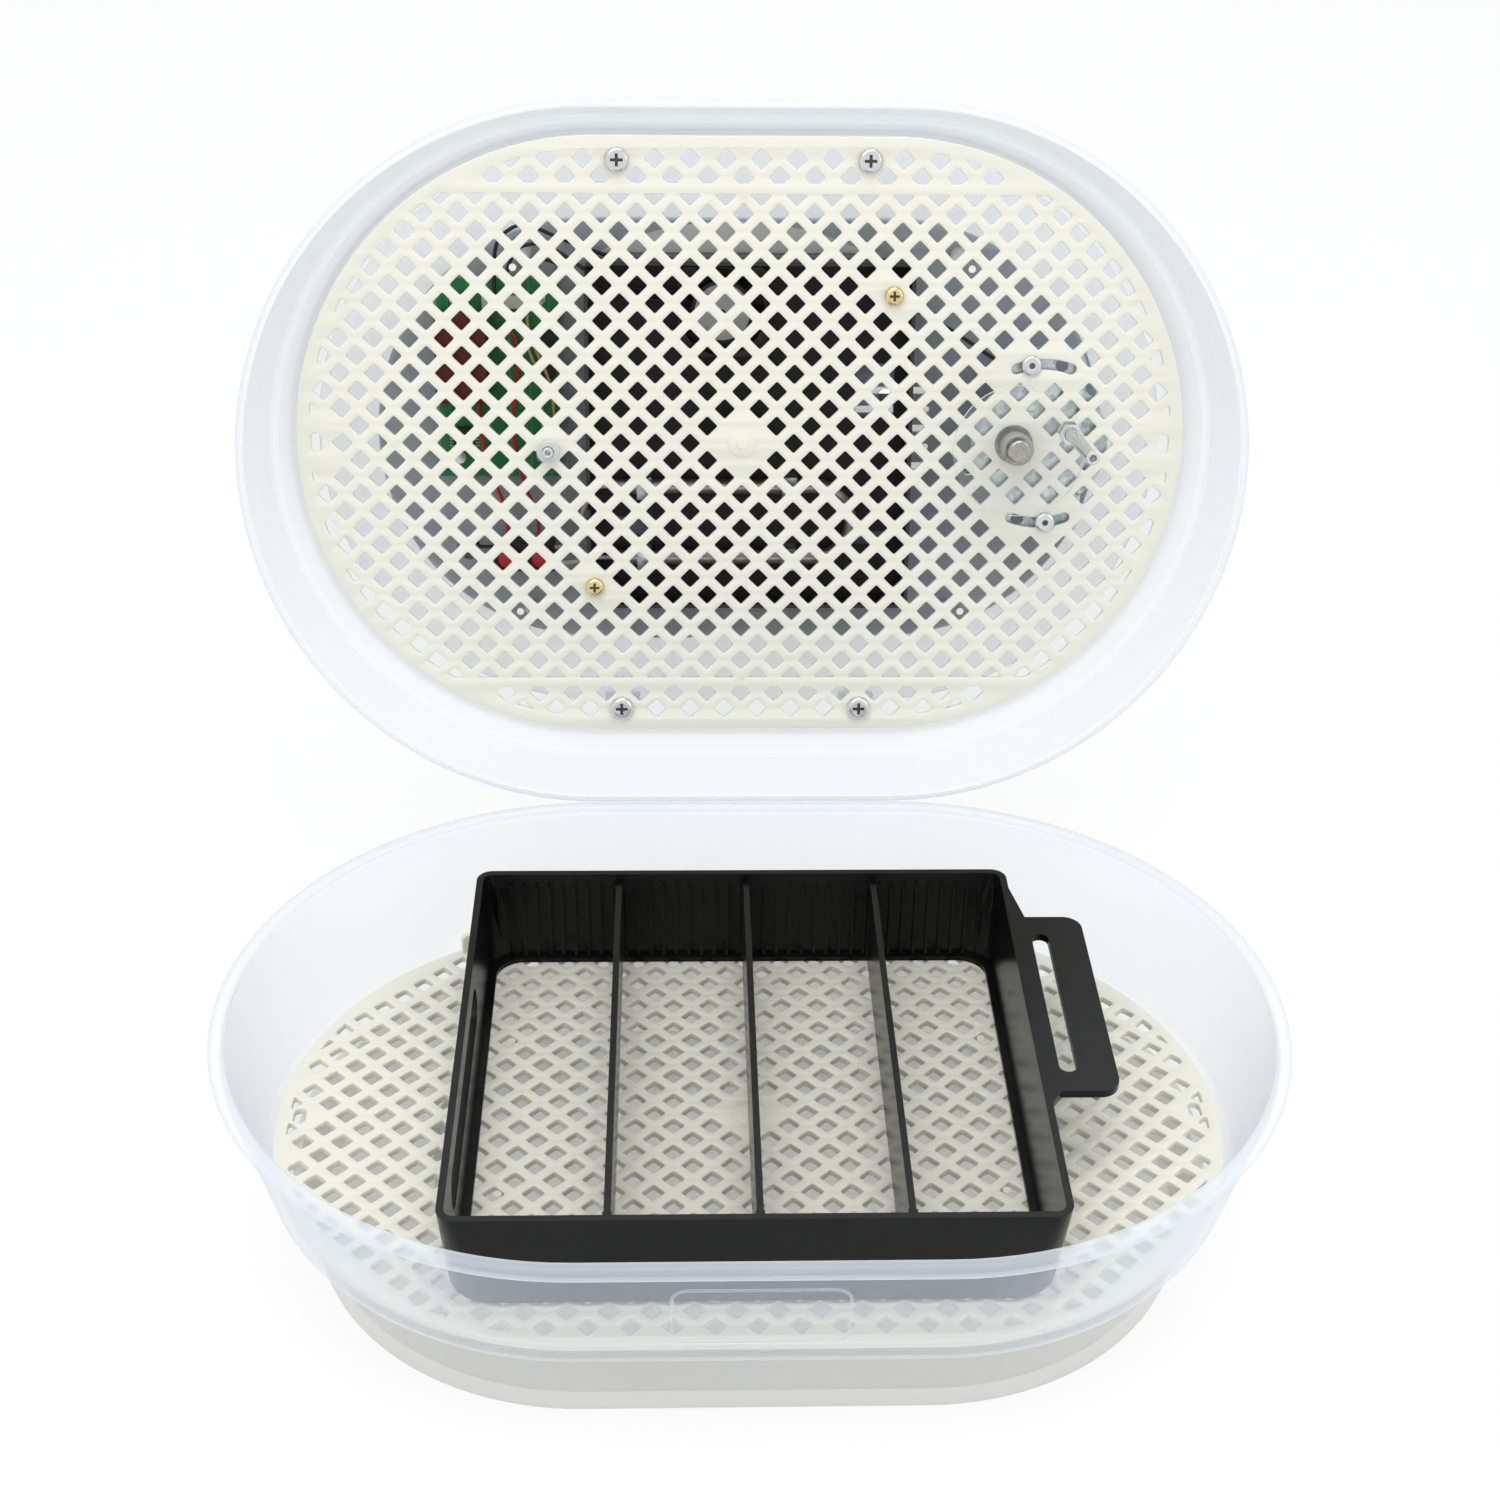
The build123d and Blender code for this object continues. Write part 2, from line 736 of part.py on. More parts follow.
round_holes = [
    Pos(x, y) * Circle(screw_shank_radius + screw_hole_clearance) for x, y in grid_screw_places
] + [
    Pos(x, y) * Circle(housing_screw_shank_radius + screw_hole_clearance) for x, y in housing_screw_places
] + [
    Pos(crank_x, 0) * Circle(shaft_hole_radius),
    Pos(probe_x, probe_y) * Circle(probe_radius + thread_clearance),
] + [
    Pos(side * lid_end_x, 0) * SlotOverall(end_hole_length, end_hole_width, rotation=90) for side in (-1, 1)
]
solid_spots = [(x, y, screw_pad_radius) for x, y in grid_screw_places]
solid_spots += [(x, y, housing_pad_radius) for x, y in housing_screw_places]
solid_spots += [(crank_x, 0, shaft_pad_radius), (probe_x, probe_y, probe_pad_radius)]
solid_spots += [(side * lid_end_x, 0, end_hole_length) for side in (-1, 1)]
solid_spots += [
    (
        motor_x + arc_slot_radius * cos(radians(middle + turn)),
        arc_slot_radius * sin(radians(middle + turn)),
        arc_pad_radius,
    )
    for middle in (90, 270)
    for turn in (-arc_slot_span / 2, 0, arc_slot_span / 2)
]
lid_openings = lattice_openings(lid_region, lid_lattice_radius, solid_spots)
lid_openings += [hole.face().outer_wire() for hole in round_holes + arc_slots]
with BuildPart() as lid_grid:
    with BuildSketch(at_depth(grid_back_depth)):
        add(Face(lid_grid_outline.face().outer_wire(), lid_openings))
    extrude(amount=lid_grid_thickness)
save(lid_grid, "lid_grid")

with BuildPart() as grid_screws:
    pegs(grid_screw_places, screw_head_radius, lid_grid_depth, lid_grid_depth - screw_head_height)
    pegs(grid_screw_places, screw_shank_radius, grid_back_depth + screw_bite, lid_grid_depth)
    head_rims = grid_screws.faces().group_by(Axis(lid_origin, lid_out))[-1].edges()
    fillet(head_rims, screw_head_height - 1)
    cross_depth = lid_grid_depth - screw_head_height + 1.2
    blocks(
        grid_screw_places, screw_head_radius, 1.2, cross_depth, lid_grid_depth - screw_head_height,
        mode=Mode.SUBTRACT,
    )
    blocks(
        grid_screw_places, 1.2, screw_head_radius, cross_depth, lid_grid_depth - screw_head_height,
        mode=Mode.SUBTRACT,
    )
save(grid_screws, "grid_screws")

# ---------------------------------------------------------------- fan housing
housing_left = housing_x - housing_width / 2
housing_inner_depth = housing_back_depth - housing_wall
with BuildPart() as fan_housing:
    with BuildSketch(at_depth(housing_back_depth)):
        with Locations((housing_x, housing_y)):
            RectangleRounded(housing_width, housing_height, housing_corner_radius)
    extrude(amount=housing_depth)
    with BuildSketch(at_depth(housing_inner_depth)):
        with Locations((housing_x, housing_y)):
            RectangleRounded(
                housing_width - 2 * housing_wall,
                housing_height - 2 * housing_wall,
                housing_corner_radius - housing_wall,
            )
    extrude(amount=housing_depth, mode=Mode.SUBTRACT)
    pegs(housing_screw_places, housing_boss_radius, housing_inner_depth, grid_back_depth)
    pegs(
        housing_screw_places, housing_screw_shank_radius + thread_clearance,
        grid_back_depth + screw_bite, grid_back_depth,
        mode=Mode.SUBTRACT,
    )
    for window in housing_windows:
        blocks(
            [window[:2]], window[2], window[3], housing_back_depth, housing_inner_depth, mode=Mode.SUBTRACT
        )
    for notch_y, notch_width in housing_notches:
        blocks(
            [(housing_left, notch_y)], 3 * housing_wall, notch_width,
            grid_back_depth + notch_depth, grid_back_depth,
            mode=Mode.SUBTRACT,
        )
save(fan_housing, "fan_housing")

with BuildPart() as housing_screws:
    pegs(housing_screw_places, housing_screw_head_radius, lid_grid_depth, lid_grid_depth - screw_head_height)
    pegs(housing_screw_places, housing_screw_shank_radius, grid_back_depth + screw_bite, lid_grid_depth)
    head_rims = housing_screws.faces().group_by(Axis(lid_origin, lid_out))[-1].edges()
    fillet(head_rims, screw_head_height - 1)
    blocks(
        housing_screw_places, housing_screw_head_radius, 1, cross_depth, lid_grid_depth - screw_head_height,
        mode=Mode.SUBTRACT,
    )
    blocks(
        housing_screw_places, 1, housing_screw_head_radius, cross_depth, lid_grid_depth - screw_head_height,
        mode=Mode.SUBTRACT,
    )
save(housing_screws, "housing_screws")

# ---------------------------------------------------------------- fan
fan_place = (fan_x, fan_y)
fan_front_depth = housing_inner_depth - fan_thickness
fan_plate_depth = housing_inner_depth - fan_plate_thickness
fan_left = fan_x - fan_size / 2
with BuildPart() as fan_frame:
    with BuildSketch(at_depth(housing_inner_depth)):
        with Locations(fan_place):
            RectangleRounded(fan_size, fan_size, 3)
            Circle(fan_bore_radius, mode=Mode.SUBTRACT)
    extrude(amount=fan_thickness)
    blocks([fan_place], 2 * fan_bore_radius + 1, fan_spoke_width, housing_inner_depth, fan_plate_depth)
    blocks([fan_place], fan_spoke_width, 2 * fan_bore_radius + 1, housing_inner_depth, fan_plate_depth)
    pegs([fan_place], fan_boss_radius, housing_inner_depth, housing_inner_depth - fan_boss_height)
    pegs(
        [fan_place], fan_shaft_radius + running_clearance,
        fan_plate_depth, housing_inner_depth - fan_boss_height,
        mode=Mode.SUBTRACT,
    )
save(fan_frame, "fan_frame")

fan_cup_depth = fan_front_depth + fan_hub_height
fan_cup_inner_radius = fan_boss_radius + 1
with BuildPart() as fan_rotor:
    pegs([fan_place], fan_hub_radius, fan_cup_depth, fan_front_depth)
    pegs(
        [fan_place], fan_cup_inner_radius, fan_cup_depth, fan_front_depth + fan_hub_wall, mode=Mode.SUBTRACT
    )
    pegs([fan_place], fan_shaft_radius, fan_plate_depth - 0.4, fan_front_depth + fan_hub_wall)
    blade_depth = (fan_cup_depth + fan_front_depth) / 2
    for blade in range(fan_blade_count):
        turn = radians(360 / fan_blade_count * blade)
        outward = Vector(1, 0, 0) * cos(turn) + lid_up * sin(turn)
        blade_root = in_lid(fan_x, fan_y, blade_depth) + outward * (fan_hub_radius - 1)
        with BuildSketch(Plane(origin=blade_root, x_dir=lid_out, z_dir=outward)) as blade_foot:
            Rectangle(fan_blade_width, fan_blade_thickness, rotation=fan_blade_pitch)
        extrude(blade_foot.sketch, amount=fan_blade_radius - fan_hub_radius + 1)
save(fan_rotor, "fan_rotor")

# ---------------------------------------------------------------- heater
heater_depth = housing_inner_depth - heater_stand_off
heater_left = housing_left + housing_wall + heater_end_gap
heater_middle_y = (heater_near_y + heater_far_y) / 2
heater_bend = (heater_far_y - heater_near_y) / 2
with BuildPart() as heater:
    with BuildLine(at_depth(heater_depth)) as tube_line:
        Line((heater_left, heater_near_y), (heater_reach - heater_bend, heater_near_y))
        ThreePointArc(
            (heater_reach - heater_bend, heater_near_y),
            (heater_reach, heater_middle_y),
            (heater_reach - heater_bend, heater_far_y),
        )
        Line((heater_reach - heater_bend, heater_far_y), (heater_left, heater_far_y))
    heater_line = tube_line.wires()[0]
    with BuildSketch(Plane(origin=heater_line @ 0, z_dir=heater_line % 0)) as tube_section:
        Circle(heater_radius)
    sweep(sections=tube_section.sketch, path=heater_line)
save(heater, "heater")

clip_places = [(x, y) for x in heater_clip_columns for y in (heater_near_y, heater_far_y)]
clip_front_depth = heater_depth - heater_radius - heater_clip_wall
with BuildPart() as heater_clips:
    blocks(
        clip_places, heater_clip_width, 2 * (heater_radius + heater_clip_wall),
        housing_inner_depth, clip_front_depth,
    )
    for x in heater_clip_columns:
        bore_plane = Plane(origin=in_lid(x - heater_clip_width, 0, heater_depth), x_dir=lid_up, z_dir=(1, 0, 0))
        with BuildSketch(bore_plane) as clip_bores:
            with Locations((heater_near_y, 0), (heater_far_y, 0)):
                Circle(heater_radius + running_clearance)
        extrude(clip_bores.sketch, amount=2 * heater_clip_width, mode=Mode.SUBTRACT)
save(heater_clips, "heater_clips")

# ---------------------------------------------------------------- control board
board_left = board_x - board_width / 2 + board_screw_inset
board_right = board_x + board_width / 2 - board_screw_inset
board_low = board_y - board_height / 2 + board_screw_inset
board_high = board_y + board_height / 2 - board_screw_inset
board_screw_places = [(x, y) for x in (board_left, board_right) for y in (board_low, board_high)]
with BuildPart() as control_board:
    blocks([(board_x, board_y)], board_width, board_height, board_back_depth, board_depth)
    pegs(
        board_screw_places, board_screw_shank_radius + screw_hole_clearance,
        board_back_depth, board_depth,
        mode=Mode.SUBTRACT,
    )
save(control_board, "control_board")

with BuildPart() as board_screws:
    pegs(
        board_screw_places, board_screw_head_radius, board_depth, board_depth - board_screw_head_height
    )
    pegs(board_screw_places, board_screw_shank_radius, board_back_depth + board_screw_bite, board_depth)
save(board_screws, "board_screws")

with BuildPart() as relay:
    blocks([(relay_x, relay_y)], relay_width, relay_length, board_depth, board_depth - relay_height)
    fillet(relay.edges().filter_by(Axis((0, 0, 0), lid_out)), 1)
save(relay, "relay")

with BuildPart() as controller_chip:
    blocks([(chip_x, chip_y)], chip_size, chip_size, board_depth, board_depth - chip_height)
save(controller_chip, "controller_chip")

with BuildPart() as pin_header:
    blocks([(header_x, header_y)], header_length, header_width, board_depth, board_depth - header_height)
save(pin_header, "pin_header")

capacitor_places = [
    (capacitor_x, capacitor_y - capacitor_spacing / 2),
    (capacitor_x, capacitor_y + capacitor_spacing / 2),
]
with BuildPart() as capacitors:
    pegs(capacitor_places, capacitor_radius, board_depth, board_depth - capacitor_height)
save(capacitors, "capacitors")

terminal_front_depth = roof_inner_depth - terminal_height
with BuildPart() as terminal_block:
    blocks(
        [(terminal_x, terminal_y)], terminal_width, terminal_depth_size,
        roof_inner_depth, terminal_front_depth,
    )
save(terminal_block, "terminal_block")

terminal_places = [(terminal_x + side * terminal_spacing / 2, terminal_y) for side in (-1, 1)]
with BuildPart() as terminal_caps:
    pegs(
        terminal_places, terminal_cap_radius, terminal_front_depth, terminal_front_depth - terminal_cap_height
    )
save(terminal_caps, "terminal_caps")

# ---------------------------------------------------------------- probe
probe_front_depth = lid_grid_depth - probe_stand_out
probe_back_depth = probe_front_depth + probe_length
with BuildPart() as probe:
    pegs([(probe_x, probe_y)], probe_radius, probe_back_depth, probe_front_depth)
    pegs(
        [(probe_x, probe_y)], probe_bore_radius, lid_grid_depth, probe_front_depth, mode=Mode.SUBTRACT
    )
save(probe, "probe")

with BuildPart() as probe_clip:
    pegs([(probe_x, probe_y)], probe_clip_radius, lid_grid_depth, lid_grid_depth - probe_clip_height)
    pegs(
        [(probe_x, probe_y)], probe_radius + thread_clearance,
        lid_grid_depth, lid_grid_depth - probe_clip_height,
        mode=Mode.SUBTRACT,
    )
save(probe_clip, "probe_clip")

# ---------------------------------------------------------------- wires
relay_right = relay_x + relay_width / 2
relay_bottom = relay_y - relay_length / 2
header_top = header_y + header_width / 2
header_bottom = header_y - header_width / 2
header_middle_depth = board_depth - header_height / 2
terminal_top = terminal_y + terminal_depth_size / 2
terminal_left = terminal_x - terminal_width / 2
terminal_right = terminal_x + terminal_width / 2
with BuildPart() as red_leads:
    lead(
        [
            (relay_right, 44, 59.5), (-92, 44, 59.5), (-91, 28, 58.5), (-94, 4, 57.5),
            (-90, -18, 59), (-84, -33, 61.5), (-84, terminal_top, 61.5),
        ],
        wire_radius,
    )
    lead(
        [
            (-107, relay_bottom, 60), (-107, 4, 60), (-104, -13, 59.5), (-97, -30, 61.5),
            (-97, terminal_top, 61.5),
        ],
        wire_radius,
    )
save(red_leads, "red_leads")

with BuildPart() as fan_leads:
    lead(
        [
            (header_x, header_top, header_middle_depth), (header_x, 67, header_middle_depth),
            (-91, 77, 61), (-80, 79, 60), (-70, 73, 59), (-58, 65, 58), (-41, 60, 60), (fan_left, 60, 60),
        ],
        wire_radius,
    )
    lead(
        [
            (header_x + 5, header_top, header_middle_depth), (header_x + 5, 65, header_middle_depth),
            (-86, 71.5, 61), (-78, 72.5, 60.3), (-68.5, 66.5, 60), (-57, 60, 59.5), (-41, 56, 61),
            (fan_left, 56, 61),
        ],
        wire_radius,
    )
save(fan_leads, "fan_leads")

motor_lead_start, motor_lead_end = [
    (motor_x + reach * cos(radians(motor_lead_angle)), reach * sin(radians(motor_lead_angle)), 60)
    for reach in (motor_radius, motor_radius + 9)
]
behind_housing = (housing_back_depth + roof_inner_depth) / 2
with BuildPart() as motor_lead:
    lead(
        [
            motor_lead_start, motor_lead_end, (89, 42, 65.5), (73, 51, behind_housing),
            (40, 62, behind_housing), (-8, 66, behind_housing), (-48, 70.5, behind_housing),
            (-74, 80, 66), (-88, 87, 63), (-99, 80, 62.4), (header_x - 5, 67.3, header_middle_depth),
            (header_x - 5, header_top, header_middle_depth),
        ],
        wire_radius,
    )
save(motor_lead, "motor_lead")

with BuildPart() as probe_leads:
    for side, route in ((-1, yellow_route), (1, white_route)):
        lead(
            [
                (probe_x + side * probe_wire_spacing / 2, probe_y, probe_back_depth),
                (probe_x + side * probe_wire_spacing / 2, probe_y, probe_back_depth + 7),
                *route,
                (route[-1][0], header_bottom, header_middle_depth),
            ],
            probe_wire_radius,
        )
save(probe_leads, "probe_leads")

with BuildPart() as heater_leads:
    lead(
        [
            (terminal_right, terminal_y + 3.5, 61), (-66.8, terminal_y + 3.5, 61), (-66.6, -33, 60),
            (-61, heater_far_y, heater_depth), (heater_left, heater_far_y, heater_depth),
        ],
        wire_radius,
    )
    lead(
        [
            (terminal_right, terminal_y - 3, 61), (-71, terminal_y - 3, 61),
            (-61, heater_near_y, heater_depth), (heater_left, heater_near_y, heater_depth),
        ],
        wire_radius,
    )
save(heater_leads, "heater_leads")

inlet_inner_y = inlet_depth - cover_radius
with BuildPart() as mains_leads:
    for side, lane in ((-1, 0), (1, mains_spacing)):
        pin_x = inlet_x + side * inlet_pin_spacing / 2
        lead(
            [
                (pin_x, inlet_inner_y, inlet_centre_depth), (pin_x, -68 + lane, inlet_centre_depth),
                (pin_x - 10, -61 + lane, 79.3), (-60, -59 + lane, 79.6), (-80, -55 + lane, 79.2),
                (-97, -52.5 + lane, 79.4), (-107, -51.5 + lane, 78.8), (-113.5, -50.8 + lane, 74.5),
                (-114.5, -50 + lane, 67.5), (-109.5, terminal_y + lane, 62),
                (terminal_left, terminal_y + lane, 62),
            ],
            wire_radius,
        )
save(mains_leads, "mains_leads")

# ---------------------------------------------------------------- turner motor
rivet_places = [
    (
        motor_x + arc_slot_radius * cos(radians(angle)),
        arc_slot_radius * sin(radians(angle)),
    )
    for angle in (rivet_upper_angle, rivet_lower_angle)
]
with BuildPart() as motor_bracket:
    with BuildSketch(at_depth(motor_face_depth)):
        with Locations((motor_x, 0)):
            Circle(motor_radius + 1)
            RectangleRounded(bracket_width, bracket_height, bracket_corner_radius)
        with Locations((crank_x, 0)):
            Circle(motor_boss_radius + 1, mode=Mode.SUBTRACT)
        with Locations(*rivet_places):
            Circle(rivet_shank_radius + thread_clearance, mode=Mode.SUBTRACT)
        with Locations((motor_x, 0)):
            with PolarLocations(arc_slot_radius, 2, start_angle=bracket_hole_angle):
                Circle(bracket_hole_radius, mode=Mode.SUBTRACT)
    extrude(amount=bracket_thickness)
save(motor_bracket, "motor_bracket")

with BuildPart() as rivets:
    pegs(rivet_places, rivet_head_radius, lid_grid_depth, lid_grid_depth - rivet_head_height)
    pegs(rivet_places, rivet_shank_radius, motor_face_depth, lid_grid_depth)
    pegs(rivet_places, rivet_spacer_radius, bracket_depth, grid_back_depth)
    head_rims = rivets.faces().group_by(Axis(lid_origin, lid_out))[-1].edges()
    fillet(head_rims, rivet_head_height - 0.4)
    pegs(
        rivet_places, rivet_bore_radius, motor_face_depth, lid_grid_depth - rivet_head_height,
        mode=Mode.SUBTRACT,
    )
save(rivets, "rivets")

motor_place = (motor_x, 0)
crank_place = (crank_x, 0)
with BuildPart() as motor_can:
    pegs([motor_place], motor_radius, motor_back_depth, motor_face_depth)
    pegs(
        [motor_place], motor_radius - motor_wall, motor_back_depth, motor_face_depth + motor_wall,
        mode=Mode.SUBTRACT,
    )
    pegs(
        [crank_place], motor_boss_radius, motor_face_depth + motor_boss_height, motor_face_depth + motor_wall
    )
    pegs(
        [crank_place], crank_shaft_radius + running_clearance,
        motor_face_depth + crank_shaft_bite, motor_face_depth,
        mode=Mode.SUBTRACT,
    )
save(motor_can, "motor_can")

coil_back_depth = motor_back_depth - motor_wall
coil_front_depth = coil_back_depth - motor_coil_height
with BuildPart() as motor_coil:
    pegs([motor_place], motor_coil_radius, coil_back_depth, coil_front_depth)
    pegs(
        [crank_place], motor_boss_radius + rim_gap,
        motor_face_depth + motor_boss_height + rim_gap, coil_front_depth,
        mode=Mode.SUBTRACT,
    )
save(motor_coil, "motor_coil")

with BuildPart() as motor_end_plate:
    pegs(
        [motor_place], motor_radius - motor_wall - thread_clearance, motor_back_depth, coil_back_depth
    )
save(motor_end_plate, "motor_end_plate")

# ---------------------------------------------------------------- crank
hub_back_depth = motor_face_depth - crank_hub_gap
spigot_depth = disc_front_depth
pin_place = (
    crank_x + crank_radius * cos(radians(crank_rest_angle)),
    crank_radius * sin(radians(crank_rest_angle)),
)
far_hole_place = (2 * crank_x - pin_place[0], -pin_place[1])
near_hole_angle = crank_rest_angle + 180
near_hole_place = (
    crank_x + crank_short_throw * cos(radians(near_hole_angle)),
    crank_short_throw * sin(radians(near_hole_angle)),
)
with BuildPart() as crank_hub:
    pegs([crank_place], crank_hub_radius, hub_back_depth, disc_back_depth)
    pegs([crank_place], crank_shaft_radius, motor_face_depth + crank_shaft_bite, hub_back_depth)
    pegs([crank_place], crank_spigot_radius, disc_back_depth, spigot_depth)
save(crank_hub, "crank_hub")

with BuildPart() as crank_disc:
    pegs([crank_place], crank_disc_radius, disc_back_depth, disc_front_depth)
    pegs(
        [crank_place], crank_spigot_radius + thread_clearance, disc_back_depth, disc_front_depth,
        mode=Mode.SUBTRACT,
    )
    pegs(
        [pin_place], crank_pin_radius + thread_clearance, disc_back_depth, disc_front_depth,
        mode=Mode.SUBTRACT,
    )
    pegs(
        [near_hole_place, far_hole_place], crank_spare_hole_radius, disc_back_depth, disc_front_depth,
        mode=Mode.SUBTRACT,
    )
save(crank_disc, "crank_disc")

with BuildPart() as crank_screw:
    pegs([crank_place], crank_screw_radius, disc_front_depth, disc_front_depth - crank_screw_height)
    fillet(crank_screw.faces().group_by(Axis(lid_origin, lid_out))[-1].edges(), crank_screw_height / 2)
save(crank_screw, "crank_screw")

pin_tip_depth = disc_front_depth - crank_pin_length
nut_depth = disc_back_depth + crank_nut_height
with BuildPart() as crank_pin:
    pegs([pin_place], crank_pin_radius, nut_depth + 1, pin_tip_depth)
    pegs(
        [pin_place], crank_pin_bore_radius, pin_tip_depth + crank_pin_bore_depth, pin_tip_depth,
        mode=Mode.SUBTRACT,
    )
save(crank_pin, "crank_pin")

with BuildPart() as crank_nuts:
    for deep in (nut_depth, disc_front_depth):
        with BuildSketch(at_depth(deep)) as nut_section:
            with Locations(pin_place):
                RegularPolygon(crank_nut_flat / 2, 6, major_radius=False)
                Circle(crank_pin_radius + thread_clearance, mode=Mode.SUBTRACT)
        extrude(nut_section.sketch, amount=crank_nut_height)
save(crank_nuts, "crank_nuts")

# ---------------------------------------------------------------- top cover
display_place = (board_x, display_y)
button_places = [
    (board_x + (number - (button_count - 1) / 2) * button_spacing, button_y)
    for number in range(button_count)
]
inlet_centre = in_lid(inlet_x, -cover_radius, inlet_centre_depth)
inlet_plane = Plane(origin=inlet_centre, x_dir=(1, 0, 0), z_dir=-lid_up)
with BuildPart() as top_cover:
    with BuildSketch(at_depth(cover_top_depth)):
        racetrack(cover_radius, cover_half_straight)
    extrude(amount=cover_height)
    fillet(top_cover.faces().sort_by(Axis(lid_origin, lid_out))[0].edges(), cover_edge_radius)
    with BuildSketch(at_depth(cover_inner_depth)):
        racetrack(cover_radius - cover_wall, cover_half_straight)
    extrude(amount=cover_height - cover_wall, mode=Mode.SUBTRACT)
    blocks(
        [display_place], display_width, display_height, cover_top_depth, cover_inner_depth,
        mode=Mode.SUBTRACT,
    )
    pegs(
        button_places, button_radius + button_clearance, cover_top_depth, cover_inner_depth,
        mode=Mode.SUBTRACT,
    )
    with BuildSketch(at_depth(cover_top_depth)) as vents:
        with Locations((vent_x, 0)):
            with GridLocations(0, vent_pitch, 1, vent_count):
                SlotOverall(vent_length, vent_width)
    extrude(vents.sketch, amount=cover_wall, mode=Mode.SUBTRACT)
    pegs(cover_screw_places, cover_boss_radius, cover_inner_depth, lid_roof_depth)
    pegs(
        cover_screw_places, cover_screw_shank_radius + thread_clearance,
        lid_roof_depth + cover_screw_bite, lid_roof_depth,
        mode=Mode.SUBTRACT,
    )
    pegs(board_screw_places, board_post_radius, cover_inner_depth, board_back_depth)
    pegs(
        board_screw_places, board_screw_shank_radius + thread_clearance,
        board_back_depth + board_screw_bite, board_back_depth,
        mode=Mode.SUBTRACT,
    )
    with BuildSketch(inlet_plane) as inlet_cutout:
        RectangleRounded(inlet_width, inlet_height, inlet_corner_radius)
    extrude(inlet_cutout.sketch, amount=-2 * cover_wall, mode=Mode.SUBTRACT)
save(top_cover, "top_cover")

with BuildPart() as cover_screws:
    pegs(
        cover_screw_places, cover_screw_head_radius,
        roof_inner_depth, roof_inner_depth - cover_screw_head_height,
    )
    pegs(
        cover_screw_places, cover_screw_shank_radius, lid_roof_depth + cover_screw_bite, roof_inner_depth
    )
save(cover_screws, "cover_screws")

window_back_depth = cover_inner_depth - display_thickness
with BuildPart() as display_window:
    blocks(
        [display_place], display_width + 2 * display_lip, display_height + 2 * display_lip,
        cover_inner_depth, window_back_depth,
    )
save(display_window, "display_window")

module_back_depth = window_back_depth - display_module_height
leg_places = [(board_x, display_y + side * display_leg_spacing / 2) for side in (-1, 1)]
with BuildPart() as display_module:
    blocks(
        [display_place], display_width - 2 * display_module_inset,
        display_height - 2 * display_module_inset, window_back_depth, module_back_depth,
    )
    blocks(leg_places, display_leg_length, display_leg_width, module_back_depth, board_back_depth)
save(display_module, "display_module")

plunger_depth = board_back_depth + switch_height
with BuildPart() as tact_switches:
    blocks(button_places, switch_size, switch_size, plunger_depth, board_back_depth)
    pegs(
        button_places, switch_plunger_radius, plunger_depth + switch_plunger_height, plunger_depth
    )
save(tact_switches, "tact_switches")

flange_top_depth = cover_inner_depth - button_flange_gap
flange_back_depth = flange_top_depth - button_flange_thickness
stem_end_depth = plunger_depth + switch_plunger_height + button_travel + switch_gap
for number, place in enumerate(button_places, start=1):
    with BuildPart() as button:
        pegs([place], button_radius, cover_top_depth + button_stand_out, flange_back_depth)
        fillet(button.faces().sort_by(Axis(lid_origin, lid_out))[0].edges(), button_edge_radius)
        pegs([place], button_radius + button_flange, flange_top_depth, flange_back_depth)
        pegs([place], button_stem_radius, flange_back_depth, stem_end_depth)
    save(button, f"button_{number}")

# ---------------------------------------------------------------- power inlet
with BuildPart() as power_inlet:
    with BuildSketch(inlet_plane) as inlet_face:
        RectangleRounded(
            inlet_width + 2 * inlet_flange, inlet_height + 2 * inlet_flange, inlet_corner_radius
        )
    extrude(inlet_face.sketch, amount=inlet_flange_thickness)
    with BuildSketch(inlet_plane) as inlet_body:
        RectangleRounded(
            inlet_width - 2 * inlet_fit, inlet_height - 2 * inlet_fit, inlet_corner_radius - inlet_fit
        )
    extrude(inlet_body.sketch, amount=-inlet_depth)
    socket_plane = inlet_plane.offset(inlet_flange_thickness)
    with BuildSketch(socket_plane) as inlet_socket:
        SlotOverall(inlet_socket_width, inlet_socket_height)
    extrude(inlet_socket.sketch, amount=-inlet_socket_depth, mode=Mode.SUBTRACT)
save(power_inlet, "power_inlet")

with BuildPart() as inlet_pins:
    with BuildSketch(socket_plane.offset(-inlet_socket_depth)) as pin_section:
        with GridLocations(inlet_pin_spacing, 0, 2, 1):
            Circle(inlet_pin_radius)
    extrude(pin_section.sketch, amount=inlet_pin_length)
save(inlet_pins, "inlet_pins")

print("crank axis", in_lid(crank_x, 0, 0), "fan axis", in_lid(fan_x, fan_y, 0), "along", lid_out)
print("hinge line at y", hinge_y, "z", hinge_z)
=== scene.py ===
"""Looks of the egg incubator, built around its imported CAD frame.

Shapes are written in millimetres, either in the object's own frame (WORLD) or in the lid's frame (LID):
x to the right, y up the standing lid, away from its hinge, z out of its mouth, so a depth into the lid is -z.
"""

import math

import bmesh
import bpy
from mathutils import Matrix, Vector


